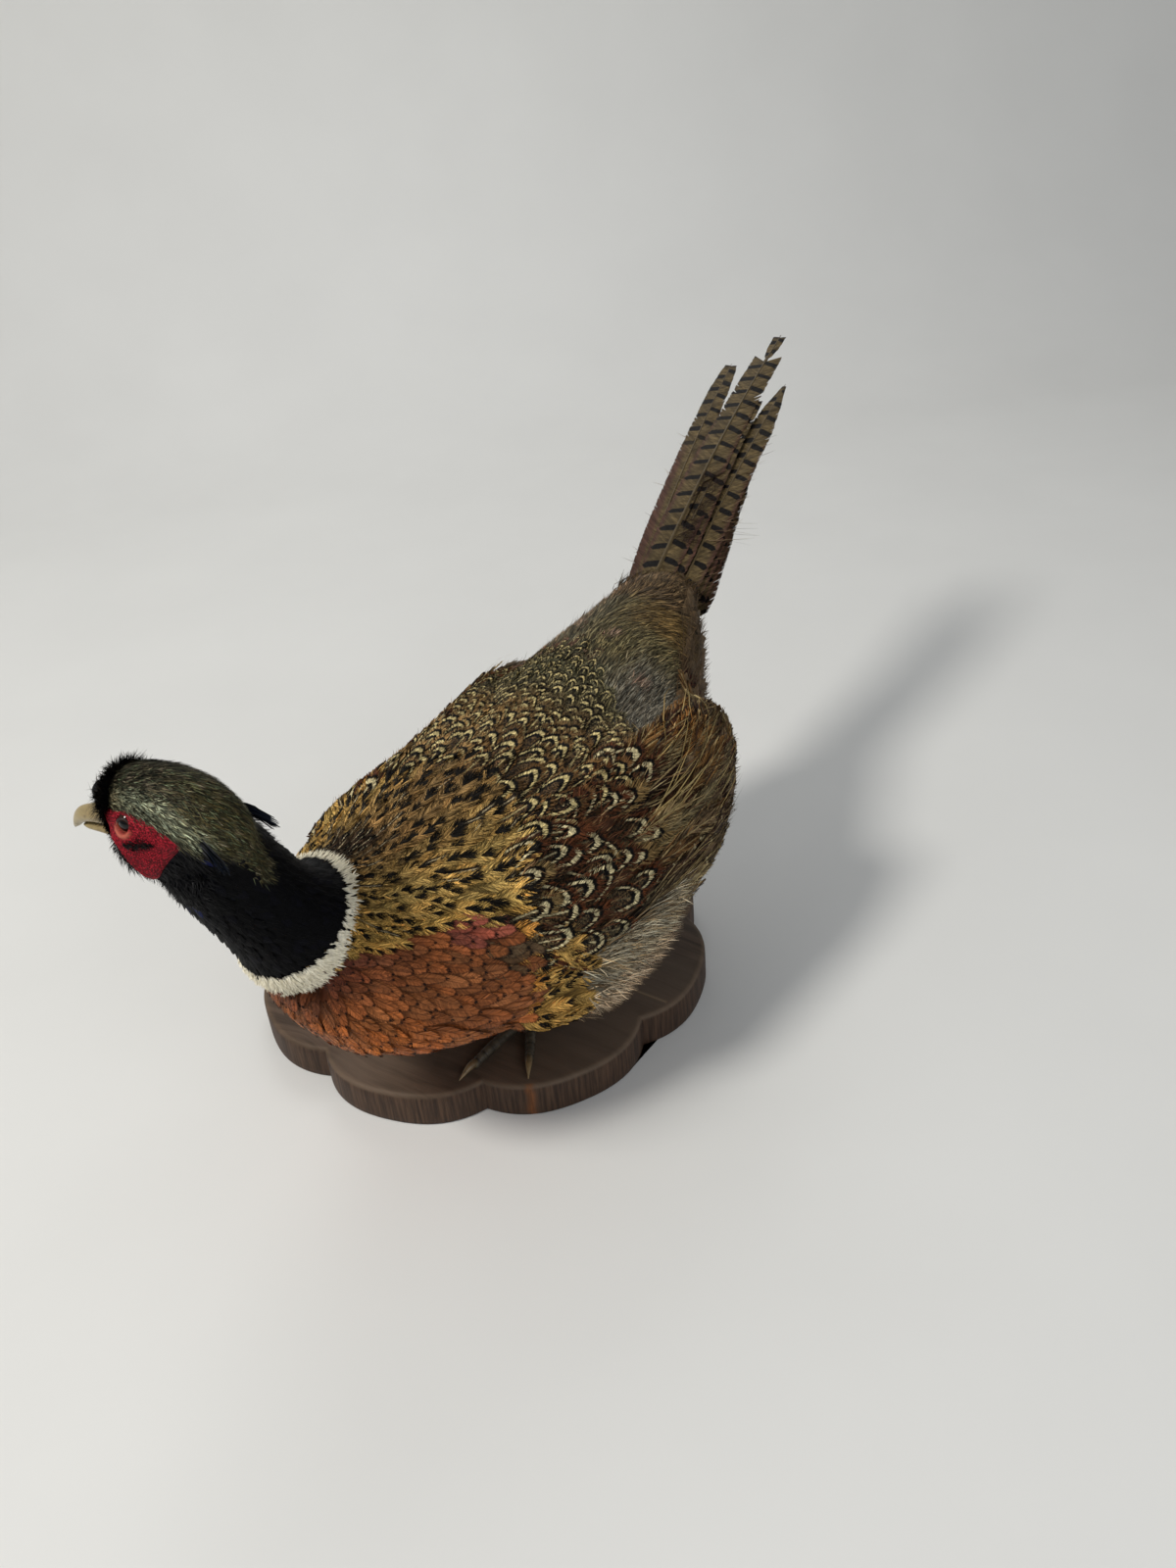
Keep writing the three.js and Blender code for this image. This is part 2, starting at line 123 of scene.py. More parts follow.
def make_mesh(name, points, faces, maps=None, values=None, materials=()):
    """An object from points in millimetres and faces, an array of quads or triangles.

    maps holds UV maps and values holds point attributes, both with a row for each point.
    """
    mesh = bpy.data.meshes.new(name)
    points = np.asarray(points, np.float32) * 0.001
    faces = np.asarray(faces, np.int32)
    count, corners = faces.shape
    mesh.vertices.add(len(points))
    mesh.vertices.foreach_set("co", points.ravel())
    mesh.loops.add(count * corners)
    mesh.loops.foreach_set("vertex_index", faces.ravel())
    mesh.polygons.add(count)
    mesh.polygons.foreach_set("loop_start", np.arange(count, dtype=np.int32) * corners)
    mesh.polygons.foreach_set("loop_total", np.full(count, corners, np.int32))
    mesh.update(calc_edges=True)
    for key, rows in (maps or {}).items():
        layer = mesh.uv_layers.new(name=key)
        layer.data.foreach_set("uv", np.asarray(rows, np.float32)[faces.ravel()].ravel())
    for key, rows in (values or {}).items():
        rows = np.asarray(rows, np.float32)
        kind, field = ("FLOAT", "value") if rows.ndim == 1 else ("FLOAT_VECTOR", "vector")
        mesh.attributes.new(key, kind, "POINT").data.foreach_set(field, rows.ravel())
    for material in materials:
        mesh.materials.append(material)
    mesh.polygons.foreach_set("use_smooth", np.ones(count, bool))
    mesh.validate()
    piece = bpy.data.objects.new(name, mesh)
    bpy.context.scene.collection.objects.link(piece)
    return piece


def merged(parts):
    """Several (points, faces, maps, values) as one set of arrays."""
    start = 0
    points, faces, maps, values = [], [], {}, {}
    for p, f, m, v in parts:
        points.append(p)
        faces.append(f + start)
        start += len(p)
        for key, rows in m.items():
            maps.setdefault(key, []).append(rows)
        for key, rows in v.items():
            values.setdefault(key, []).append(rows)
    return (
        np.concatenate(points),
        np.concatenate(faces),
        {k: np.concatenate(r) for k, r in maps.items()},
        {k: np.concatenate(r) for k, r in values.items()},
    )


def grid_faces(rows, cols, wrap=False):
    """Quads of a grid of rows by cols points, closed round its columns if wrap is set."""
    last = cols if wrap else cols - 1
    r, c = np.meshgrid(np.arange(rows - 1), np.arange(last), indexing="ij")
    a = r * cols + c
    b = r * cols + (c + 1) % cols
    return np.stack([a, b, b + cols, a + cols], -1).reshape(-1, 4)


def repeated(faces, count, points):
    """The same faces for count copies of a shape with so many points."""
    return (np.arange(count)[:, None, None] * points + faces[None]).reshape(-1, 4)


def settle(piece, slot, *nodes):
    """The piece rides on the body and stands for these nodes, which it hides. slot is not used."""
    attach(piece, "root")
    if nodes:
        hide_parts(*nodes)


def smooth_line(keys, count):
    """A Catmull-Rom line through rows of keys, sampled at count places."""
    keys = np.asarray(keys, float)
    padded = np.vstack([2 * keys[0] - keys[1], keys, 2 * keys[-1] - keys[-2]])
    t = np.linspace(0, len(keys) - 1 - 1e-9, count)
    i = t.astype(int)
    f = (t - i)[:, None]
    p0, p1, p2, p3 = (padded[i + k] for k in range(4))
    return 0.5 * (
        2 * p1
        + (p2 - p0) * f
        + (2 * p0 - 5 * p1 + 4 * p2 - p3) * f**2
        + (3 * p1 - p0 - 3 * p2 + p3) * f**3
    )


def tube(line, radii, around, up, flatten=1.0):
    """Points and faces of a closed tube along a line of points."""
    line = np.asarray(line, float)
    radii = np.asarray(radii, float)
    along = unit(np.gradient(line, axis=0))
    side = unit(np.cross(along, np.broadcast_to(up, along.shape)))
    over = np.cross(side, along)
    turn = full_turn(around)[None, :, None]
    ring = np.cos(turn) * side[:, None] + np.sin(turn) * over[:, None] * flatten
    points = (line[:, None] + ring * radii[:, None, None]).reshape(-1, 3)
    faces = grid_faces(len(line), around, wrap=True)
    ends = []
    for row in (0, len(line) - 1):
        centre = len(points)
        points = np.vstack([points, line[row]])
        k = np.arange(around)
        a = row * around + k
        b = row * around + (k + 1) % around
        fan = np.stack([b, a, np.full(around, centre), np.full(around, centre)], -1)
        ends.append(fan if row == 0 else fan[:, [1, 0, 2, 3]])
    return points, np.vstack([faces, *ends])


def smooth_radii(radii, count):
    """The same smooth line through plain numbers."""
    return smooth_line(np.asarray(radii, float)[:, None], count)[:, 0]


def split_quads(faces):
    """Triangles of a mix of quads and quads with a doubled corner."""
    tris = np.vstack([faces[:, [0, 1, 2]], faces[:, [0, 2, 3]]])
    same = (tris[:, 0] == tris[:, 1]) | (tris[:, 1] == tris[:, 2]) | (tris[:, 0] == tris[:, 2])
    return tris[~same]


# ---------------------------------------------------------------- shader graph


class Graph:
    """A short way to write a material's nodes."""

    def __init__(self, name, **sockets):
        self.material = bpy.data.materials.new(name)
        self.material.use_nodes = True
        self.tree = self.material.node_tree
        self.tree.nodes.clear()
        self.shader = self.tree.nodes.new("ShaderNodeBsdfPrincipled")
        out = self.tree.nodes.new("ShaderNodeOutputMaterial")
        self.tree.links.new(self.shader.outputs[0], out.inputs[0])
        for key, value in sockets.items():
            self.shader.inputs[key.replace("_", " ")].default_value = value

    def put(self, socket, value):
        if isinstance(value, bpy.types.NodeSocket):
            self.tree.links.new(value, socket)
        else:
            socket.default_value = rgba(value) if isinstance(value, str) else value

    def node(self, kind, inputs=(), **settings):
        made = self.tree.nodes.new(kind)
        for key, value in settings.items():
            setattr(made, key, value)
        for key, value in dict(inputs).items():
            self.put(made.inputs[key], value)
        return made

    def math(self, operation, a, b=0.0):
        return self.node("ShaderNodeMath", {0: a, 1: b}, operation=operation).outputs[0]

    def add(self, a, b):
        return self.math("ADD", a, b)

    def times(self, a, b, *more):
        made = self.math("MULTIPLY", a, b)
        return self.times(made, *more) if more else made

    def less(self, a, b):
        return self.math("SUBTRACT", a, b)

    def step(self, x, low, high):
        """0 at low and 1 at high, with a soft turn between. Low may be the larger."""
        inputs = {"Value": x, "From Min": low, "From Max": high}
        return self.node("ShaderNodeMapRange", inputs, interpolation_type="SMOOTHSTEP").outputs[0]

    def band(self, x, low, high, soft):
        """1 between low and high."""
        rise = self.step(x, low - soft, low + soft)
        fall = self.step(x, high + soft, high - soft)
        return self.times(rise, fall)

    def mix(self, factor, a, b):
        made = self.node("ShaderNodeMix", data_type="RGBA")
        for socket, value in ((0, factor), (6, a), (7, b)):
            self.put(made.inputs[socket], value)
        return made.outputs[2]

    def over(self, colour, other, *weights):
        """Another colour laid over a colour, as much as the product of the weights says."""
        return self.mix(self.times(*weights) if len(weights) > 1 else weights[0], colour, other)

    def own(self, weight):
        """The feather's ground colour, giving way to its fringe colour by weight."""
        return self.mix(weight, self.attribute("ground"), self.attribute("fringe"))

    def shade(self, colour, amount):
        """The colour made darker or lighter by a factor about 1."""
        inputs = {0: colour, "Scale": amount}
        return self.node("ShaderNodeVectorMath", inputs, operation="SCALE").outputs[0]

    def vector(self, x, y=0.0, z=0.0):
        return self.node("ShaderNodeCombineXYZ", {0: x, 1: y, 2: z}).outputs[0]

    def parts(self, vector):
        return self.node("ShaderNodeSeparateXYZ", {0: vector}).outputs

    def attribute(self, name, output="Vector"):
        return self.node("ShaderNodeAttribute", attribute_name=name).outputs[output]

    def value(self, name):
        """A point attribute that holds one number."""
        return self.attribute(name, "Fac")

    def uv(self, name):
        return self.node("ShaderNodeUVMap", uv_map=name).outputs[0]

    def noise(self, vector, scale, detail=2.0, rough=0.5):
        inputs = {"Vector": vector, "Scale": scale, "Detail": detail, "Roughness": rough}
        return self.node("ShaderNodeTexNoise", inputs).outputs[0]

    def grain(self, *axes, scale=1.0, detail=2.0, rough=0.5):
        """Noise along one to three axes, each a value or a pair of a value and its own scale."""
        axes = [self.times(*axis) if isinstance(axis, tuple) else axis for axis in axes]
        return self.noise(self.vector(*axes), scale, detail, rough)

    def position(self):
        return self.node("ShaderNodeTexCoord").outputs["Object"]

    def colour(self, value):
        self.put(self.shader.inputs["Base Color"], value)
        return self.material

    def bump(self, height, distance, strength):
        inputs = {"Height": height, "Distance": distance, "Strength": strength}
        self.put(self.shader.inputs["Normal"], self.node("ShaderNodeBump", inputs).outputs[0])


# ---------------------------------------------------------------- places on the bird


def places(points):
    """Where points lie: y, the angle round the trunk, the height over the ring, head parts."""
    points = np.asarray(points, float)
    y = points[..., 1]
    x0 = np.interp(y, AXIS_Y, AXIS_X)
    z0 = np.interp(y, AXIS_Y, AXIS_Z)
    turn = np.degrees(np.arctan2(points[..., 0] - x0, points[..., 2] - z0))
    head = points - HEAD_CENTRE
    return SimpleNamespace(
        y=y,
        z=points[..., 2],
        turn=turn,
        round=np.abs(turn),
        over_ring=points @ RING_NORMAL - RING_LEVEL,
        ahead=head @ AHEAD,
        left=head @ LEFT,
        above=head @ ABOVE,
    )


def copper_edge(at):
    """The angle round the trunk where gold gives way to copper."""
    return np.interp(at.y, [-175, -158, -146, -134, -121, -113, -95], [101, 97, 88, 77, 68, 69, 71])


def mantle_end(at):
    """The y where the gold mantle gives way to looped feathers."""
    table = ([0, 25, 40, 50, 57, 62, 75, 95], [-44, -58, -64, -72, -80, -87, -90, -92])
    return np.interp(at.round, *table)


def rump_start(at):
    """The y where looped feathers give way to the hairy rump."""
    turns = [-60, -39, -27, 0, 9, 29, 41, 49, 60]
    return np.interp(at.turn, turns, [58, 66, 74, 66, 54, 36, 18, 4, -5])


def copper_end(at):
    """The y where the copper breast ends."""
    return np.interp(at.round, [72, 90, 125, 150, 180], [-104, -98, -96, -82, -64])


def on_body(at):
    return at.over_ring < 0


def in_mantle(at):
    return on_body(at) & (at.round < copper_edge(at)) & (at.y < mantle_end(at))


def in_copper(at):
    return on_body(at) & (at.round >= copper_edge(at) - 1) & (at.y < copper_end(at))


def in_flank(at):
    rear = np.interp(at.round, [78, 85, 100, 118, 135, 168], [-96, -84, -66, -58, -54, -50])
    return on_body(at) & (at.round > 80) & (at.round < 168) & (at.y >= copper_end(at)) & (at.y < rear)


def in_coverts(at):
    front = mantle_end(at) - 2
    rear = np.interp(at.round, [44, 55, 65, 73, 95], [0, -2, -10, -22, -30])
    low = np.interp(at.y, [-90, -60, -40], [97, 95, 88])
    return on_body(at) & (at.round > 45) & (at.round < low) & (at.y > front) & (at.y < rear + 6)


def in_loops(at):
    rear = rump_start(at) + 13 + 16 * smooth(at.turn, 12, 0)
    wide = np.where(at.turn < 0, 64, 53)
    return on_body(at) & (at.round < wide) & (at.y >= mantle_end(at) - 3) & (at.y < rear)


def in_rump(at):
    wide = np.where(at.turn < 0, 76, 57) + 38 * smooth(at.y, 80, 90)
    return on_body(at) & (at.y >= rump_start(at) - 10) & (at.round < wide)


def in_under(at):
    low = np.where(at.y < -60, 150, np.where(at.y < 20, 100, 62))
    return on_body(at) & (at.y >= copper_end(at) - 4) & (at.round > low)


def in_quills(at):
    turn = np.where(at.turn < 0, at.round - 14, at.round)
    front = at.y > np.interp(turn, [50, 65, 73, 95, 118], [-4, -12, -24, -34, -26])
    rear = at.y < np.interp(turn, [52, 60, 80, 118], [34, 54, 78, 88])
    return on_body(at) & front & rear & (turn > 51) & (at.round < 118)


# ---------------------------------------------------------------- the skin

FLESH = ["trunk", "neck", "head", "wing_left", "wing_right", "thigh_left", "thigh_right"]
FLESH += ["wattle_left", "wattle_right"]
VOXEL = 2.4
SKIN_OVERLAP = 0.5
DEPTH_ON_BODY = 3.8
DEPTH_ON_NECK = 2.8
DEPTH_ON_HEAD = 1.5
DEPTH_AT_TAIL = 2.4
SOLVER_STEPS = 2500
SOLVER_GOAL = 1e-15
FIELD_BANDS = 160
ROW_MARGIN = 4.0


def welded(node, grow):
    """A CAD node's points and triangles in millimetres, each point moved out by grow."""
    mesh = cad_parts[node].data
    mesh.calc_loop_triangles()
    co = read(mesh.vertices, "co", 3) * 1000.0
    keys, same = np.unique(np.round(co, 3), axis=0, return_inverse=True)
    tri = same.ravel()[read(mesh.loop_triangles, "vertices", 3, np.int32)]
    normal = np.cross(keys[tri[:, 1]] - keys[tri[:, 0]], keys[tri[:, 2]] - keys[tri[:, 0]])
    total = np.zeros_like(keys)
    for k in range(3):
        for axis in range(3):
            total[:, axis] += np.bincount(tri[:, k], normal[:, axis], len(keys))
    return keys + unit(total) * grow, tri


def remeshed_flesh():
    """The flesh nodes as one closed surface: points, quads and unit normals."""
    parts = [(*welded(node, SKIN_OVERLAP), {}, {}) for node in FLESH]
    rough = make_mesh("rough_flesh", *merged(parts))
    remesh = rough.modifiers.new("voxels", "REMESH")
    remesh.mode = "VOXEL"
    remesh.voxel_size = VOXEL * 0.001
    calm = rough.modifiers.new("calm", "SMOOTH")
    calm.iterations = 7
    calm.factor = 0.5
    graph = bpy.context.evaluated_depsgraph_get()
    mesh = bpy.data.meshes.new_from_object(rough.evaluated_get(graph))
    points = read(mesh.vertices, "co", 3) * 1000.0
    normals = read(mesh.vertex_normals, "vector", 3)
    faces = np.array([p.vertices[:] for p in mesh.polygons if len(p.vertices) == 4], np.int32)
    bpy.data.objects.remove(rough)
    bpy.data.meshes.remove(mesh)
    return points, faces, normals


def coat_depth(points):
    """How deep the skin lies under the CAD surface, by place."""
    at = places(points)
    depth = DEPTH_ON_BODY + (DEPTH_ON_NECK - DEPTH_ON_BODY) * smooth(at.over_ring, -12, 8)
    depth = depth + (DEPTH_ON_HEAD - depth) * smooth(at.over_ring, 30, 75)
    return depth + (DEPTH_AT_TAIL - depth) * smooth(at.y, 120, 160)


class Skin:
    """The skin's surface, with a smooth field from bill to tail that feathers follow."""

    def __init__(self):
        points, quads, normals = remeshed_flesh()
        self.quads = quads
        self.points = points - normals * (coat_depth(points) + SKIN_OVERLAP)[:, None]
        self.normals = unit(normals)
        self.tris = np.vstack([quads[:, [0, 1, 2]], quads[:, [0, 2, 3]]])
        pairs = np.vstack([quads[:, [k, (k + 1) % 4]] for k in range(4)])
        self.edges = np.unique(np.sort(pairs, axis=1), axis=0)
        self.face_normals = unit(self.normals[self.tris].sum(1))
        self.tree = BVHTree.FromPolygons(self.points.tolist(), self.tris.tolist())
        self.field()

    def solve(self, fixed, value):
        """A field that is smooth between its fixed points, by conjugate gradients."""
        a, b = self.edges.T
        n = len(self.points)
        degree = np.bincount(a, minlength=n) + np.bincount(b, minlength=n)

        def spread(x):
            return degree * x - np.bincount(a, x[b], n) - np.bincount(b, x[a], n)

        free = ~fixed
        x = value.copy()
        r = -spread(x) * free
        p = r.copy()
        rr = r @ r
        first = rr
        for _ in range(SOLVER_STEPS):
            q = spread(p) * free
            step = rr / (p @ q)
            x += step * p
            r -= step * q
            new = r @ r
            if new < SOLVER_GOAL * first:
                break
            p = r + new / rr * p
            rr = new
        return x

    def field(self):
        """Sets flow, the way feathers lie at each point, and t, how far each is from the bill in mm."""
        at = places(self.points)
        bill = (at.ahead > HEAD_HALF_LENGTH) & (at.over_ring > 20)
        tail = at.y > self.points[:, 1].max() - 4
        guess = np.where(bill, 0.0, np.clip((self.points[:, 1] + 230) / 400, 0, 1))
        guess = np.where(tail, 1.0, guess)
        phi = self.solve(bill | tail, guess)
        tri, pts = self.tris, self.points
        p0, p1, p2 = (pts[tri[:, k]] for k in range(3))
        cross = np.cross(p1 - p0, p2 - p0)
        double = np.maximum(np.linalg.norm(cross, axis=1), 1e-9)
        n = cross / double[:, None]
        grad = (
            phi[tri[:, 0], None] * np.cross(n, p2 - p1)
            + phi[tri[:, 1], None] * np.cross(n, p0 - p2)
            + phi[tri[:, 2], None] * np.cross(n, p1 - p0)
        ) / double[:, None]
        total = np.zeros_like(pts)
        weight = np.zeros(len(pts))
        for k in range(3):
            weight += np.bincount(tri[:, k], double, len(pts))
            for axis in range(3):
                total[:, axis] += np.bincount(tri[:, k], double * grad[:, axis], len(pts))
        self.flow = unit(total / np.maximum(weight, 1e-9)[:, None])
        middle = phi[tri].mean(1)
        order = np.argsort(middle)
        share = np.cumsum(double[order])
        marks = np.linspace(0, share[-1], FIELD_BANDS + 1)
        cuts = np.unique(np.interp(marks, share, middle[order]))
        which = np.clip(np.searchsorted(cuts, middle) - 1, 0, len(cuts) - 2)
        size = np.linalg.norm(grad, axis=1)
        bands = len(cuts) - 1
        mean = np.bincount(which, double * size, bands) / np.bincount(which, double, bands)
        mean = np.maximum(mean, 1e-7)
        along = np.concatenate([[0], np.cumsum(np.diff(cuts) / mean)])
        self.t = np.interp(phi, cuts, along)

    def near(self, points):
        """The nearest places on the skin, with smooth normals."""
        find = self.tree.find_nearest
        hits = [find(p) for p in points.reshape(-1, 3).tolist()]
        place = np.array([h[0][:] for h in hits])
        normal = self.face_normals[np.array([h[2] for h in hits])]
        return place.reshape(points.shape), normal.reshape(points.shape)

    def level(self, t):
        """The ring of points where the field is t, in order round the body, with their flow."""
        a, b = self.edges.T
        ta, tb = self.t[a], self.t[b]
        cut = (ta < t) != (tb < t)
        a, b, ta, tb = a[cut], b[cut], ta[cut], tb[cut]
        if len(a) < 8:
            return None
        w = ((t - ta) / (tb - ta))[:, None]
        place = self.points[a] * (1 - w) + self.points[b] * w
        flow = unit(self.flow[a] * (1 - w) + self.flow[b] * w)
        axis = unit(flow.mean(0))
        ref = np.ones(3)
        ref = unit(ref - (ref @ axis) * axis)
        other = np.cross(axis, ref)
        out = place - place.mean(0)
        order = np.argsort(np.arctan2(out @ other, out @ ref))
        return place[order], flow[order]

    def rows(self, pitch, wide, where, first, spread, ahead, rng):
        """Roots of feathers in staggered rows: place, flow, t and the angle round the row.

        pitch is the step from row to row and wide is a feather's share of its row. Each is a
        number or a function: pitch(t), wide(at). where is asked at the part of the feather that
        shows, which lies ahead of its root.
        """
        pitch_at = pitch if callable(pitch) else lambda t: pitch
        found = []
        t = first
        odd = False
        while t < self.t.max() - ROW_MARGIN:
            ring = self.level(t)
            if ring is not None:
                place, flow = ring
                share = wide(places(place)) if callable(wide) else wide
                step = np.linalg.norm(np.roll(place, -1, axis=0) - place, axis=1) / share
                total = np.concatenate([[0], np.cumsum(step)])
                count = max(3, int(round(total[-1])))
                marks = (np.arange(count) + 0.5 * odd) * total[-1] / count
                marks = marks + rng.normal(0, spread * 0.5, count)
                i = np.searchsorted(total, marks % total[-1], "right") - 1
                i = np.clip(i, 0, len(place) - 1)
                keep = where(places(place[i] + flow[i] * ahead))
                if ahead > 0:
                    keep = keep & (places(place[i]).over_ring < 5)
                i = i[keep]
                lag = rng.normal(0, spread, len(i)) * pitch_at(t)
                root = place[i] + flow[i] * lag[:, None]
                found.append((root, flow[i], np.full(len(i), t), marks[keep]))
            t += pitch_at(t)
            odd = not odd
        return [np.concatenate(x) for x in zip(*found)]

    def scatter(self, count, where, rng):
        """Random roots spread evenly over part of the skin: place, flow, t and angle."""
        tri = self.tris[where(places(self.points[self.tris].mean(1)))]
        p0, p1, p2 = (self.points[tri[:, k]] for k in range(3))
        area = np.linalg.norm(np.cross(p1 - p0, p2 - p0), axis=1)
        pick = rng.choice(len(tri), count, p=area / area.sum())
        u, v = rng.random((2, count))
        over = u + v > 1
        u, v = np.where(over, 1 - u, u), np.where(over, 1 - v, v)
        w = np.stack([1 - u - v, u, v], 1)
        corner = tri[pick]
        place = (self.points[corner] * w[..., None]).sum(1)
        flow = unit((self.flow[corner] * w[..., None]).sum(1))
        t = (self.t[corner] * w).sum(1)
        return place, flow, t, places(place).turn


def tangent(v, normal):
    """v laid flat on the surface."""
    return unit(v - (v * normal).sum(-1, keepdims=True) * normal)


def turned(v, normal, degrees):
    """v turned about normal."""
    a = np.radians(degrees)[..., None]
    return v * np.cos(a) + np.cross(normal, v) * np.sin(a)


# ---------------------------------------------------------------- coat sheets


def along_skin(skin, roots, strides, swing, bend):
    """A walk over the skin from each root: places, normals and headings, at its start and after
    every stride. It sets out at an angle of swing to the flow, and turns by bend on its way.
    """
    place, normal = skin.near(roots[0])
    heading = turned(tangent(roots[1], normal), normal, swing)
    found = [(place, normal, heading)]
    for stride in strides:
        place, normal = skin.near(place + heading * stride[:, None])
        heading = turned(tangent(heading, normal), normal, bend / len(strides))
        found.append((place, normal, heading))
    return [np.stack(rows, 1) for rows in zip(*found)]


HAIR_PATCH = 0.003  # the most that a tuft's patch measures, with the whole map as 1


def bake_places(t, turn, patch, band=(0, 1)):
    """Each root's own patch of the map that colours are baked to: its corner, and their one size.

    Roots are put in rows by how far down the body they lie, then round the body in each row, and
    no two patches overlap. Where a piece is joined from several sets of roots, band gives this
    set's number and how many there are.
    """
    count = len(t)
    side = int(math.ceil(math.sqrt(count)))
    order = np.argsort(t, kind="stable")
    row = np.empty(count, int)
    row[order] = np.arange(count) // side
    column = np.empty(count, int)
    for r in range(row.max() + 1):
        mine = np.flatnonzero(row == r)
        column[mine[np.argsort(turn[mine])]] = np.arange(len(mine))
    number, bands = band
    cell = 1.0 / side
    size = min(patch, 0.9 * cell / bands)
    middle = (np.stack([column, row], 1) + 0.5) * cell
    middle[:, 1] = (middle[:, 1] + number) / bands
    return middle - 0.5 * size, size


def sheets(skin, roots, length, half, rows, cols, *, point, tip, cup, jitter, ragged, paint, rng,
           widest=0.45, base=0.3, slope=0.08, bend=0.0, turn=0.0, patch=0.03, drape=True, band=(0, 1)):
    """Feathers or tufts as thin sheets that lie along the skin. Returns points, faces, maps, values.

    length and half (half the width) are one number or one for each root. widest is how far along
    a sheet is widest, point shapes its tip, slope lifts it along its length and tip lifts its end.
    """
    count = len(roots[0])
    length = np.broadcast_to(length, count).astype(float)
    half = np.broadcast_to(half, count).astype(float)
    u = 1 - (1 - np.linspace(0, 1, rows + 1)) ** 1.25
    swing = turn + rng.normal(0, jitter, count)
    curl = bend + rng.normal(0, 0.35 * jitter, count)
    spine, over, ahead = along_skin(skin, roots, [step * length for step in np.diff(u)], swing, curl)
    side = unit(np.cross(ahead, over))
    tail = np.clip((u - widest) / (1 - widest), 0, 1)
    outline = np.where(u < widest, 0.3 + 0.7 * smooth(u / widest, 0, 1), (1 - tail**2) ** point)
    outline = np.maximum(outline, 0.05)
    v = np.linspace(-1, 1, cols + 1)
    frays = 1 - ragged * np.abs(rng.normal(0, 1, (count, rows + 1, 2)))
    edge = outline[None, :] * half[:, None]
    right = side * (edge * frays[..., 1])[..., None]
    left = side * (edge * frays[..., 0])[..., None]
    ends = [spine - left, spine, spine + right]
    if drape:
        low, low_n = skin.near(ends[0])
        high, high_n = skin.near(ends[2])
    else:
        low, low_n, high, high_n = ends[0], over, ends[2], over
    weights = [x[None, None, :, None] for x in ((v * v - v) / 2, 1 - v * v, (v * v + v) / 2)]

    def blend(a, b, c):
        return a[:, :, None] * weights[0] + b[:, :, None] * weights[1] + c[:, :, None] * weights[2]

    points = blend(low, spine, high)
    lifted = unit(blend(low_n, over, high_n))
    raise_tip = np.broadcast_to(tip, count) * (0.4 + 1.2 * rng.random(count))
    height = base + slope * u[None, :] * length[:, None] + raise_tip[:, None] * u[None, :] ** 2.5
    height = height[:, :, None] - cup * edge[:, :, None] * (v**2)[None, None, :]
    points = points + lifted * np.maximum(height, 0.05)[..., None]
    across = (v[None, None, :] * outline[None, :, None]) * 0.5 + 0.5
    shape = (count, rows + 1, cols + 1)
    vane = np.stack([np.broadcast_to(u[None, :, None], shape), np.broadcast_to(across, shape)], -1)
    vane = vane.reshape(-1, 2)
    corner, size = bake_places(roots[2], roots[3], patch, band)
    each = (rows + 1) * (cols + 1)
    bake = np.repeat(corner, each, 0) + vane * size
    faces = repeated(grid_faces(rows + 1, cols + 1), count, each)
    seed = rng.random(count)
    values = {"size": np.repeat(np.stack([length, half, seed], 1), each, 0)}
    shown = places(roots[0] + roots[1] * (0.7 * length)[:, None])
    for key, rows_of in paint(shown, seed).items():
        values[key] = np.repeat(rows_of, each, 0)
    return points.reshape(-1, 3), faces, {"Vane": vane, "OFBake": bake}, values


def lerp(a, b, w):
    return a + (b - a) * np.asarray(w)[..., None]


def varied(colour, seed, amount=0.25, warm=0.06):
    """Colours made lighter, darker and a little warmer or cooler from feather to feather."""
    tone = 1 + amount * (2 * seed - 1)
    shift = warm * (2 * ((seed * 7.31) % 1) - 1)
    return colour * tone[:, None] * np.stack([1 + shift, np.ones_like(seed), 1 - shift], 1)


def scrambled(colour, seed, amount):
    """The same, for colours that were themselves picked by seed."""
    return varied(colour, (seed * 13.7) % 1, amount)


# ---------------------------------------------------------------- coat colours


def mixed(base, *layers):
    """A colour with others laid over it in turn: each layer is a colour and its weight by point."""
    base = linear(base) if isinstance(base, str) else base
    for colour, weight in layers:
        base = lerp(base, linear(colour), weight)
    return base


def copper_paint(at, seed):
    plum = smooth(at.over_ring, -40, -6)
    low = smooth(at.round, 112, 150) * smooth(at.over_ring, -18, -60)
    patch = smooth(at.y, -126, -119) * smooth(at.y, -99, -105) * smooth(at.round, 84, 78)
    hairy = smooth(at.y, -116, -108) * smooth(np.abs(at.round - 90), 12, 6) * (seed > 0.35)
    base = mixed("#965830", ("#653325", plum), ("#b2632a", low), ("#8f4a39", patch), ("#5d4730", hairy))
    return {"ground": varied(base, seed, 0.34, 0.1), "fringe": varied(base * 0.2, seed)}


def mantle_paint(at, seed):
    dark = smooth(at.y, -96, -106) * smooth(at.turn, -44, -26) * smooth(at.turn, 14, -4)
    middle = smooth(at.round, 55, 5)
    bright = smooth(at.round, 58, 70)
    base = mixed("#bd9b58", ("#927246", middle), ("#cca357", bright), ("#382b22", dark * 0.95))
    ground = varied(base, seed, 0.28)
    small = 1 - 0.45 * smooth(at.round, 55, 72)
    return {"ground": ground, "fringe": varied(base * 0.75, seed), "shaft": dark, "mark": small}


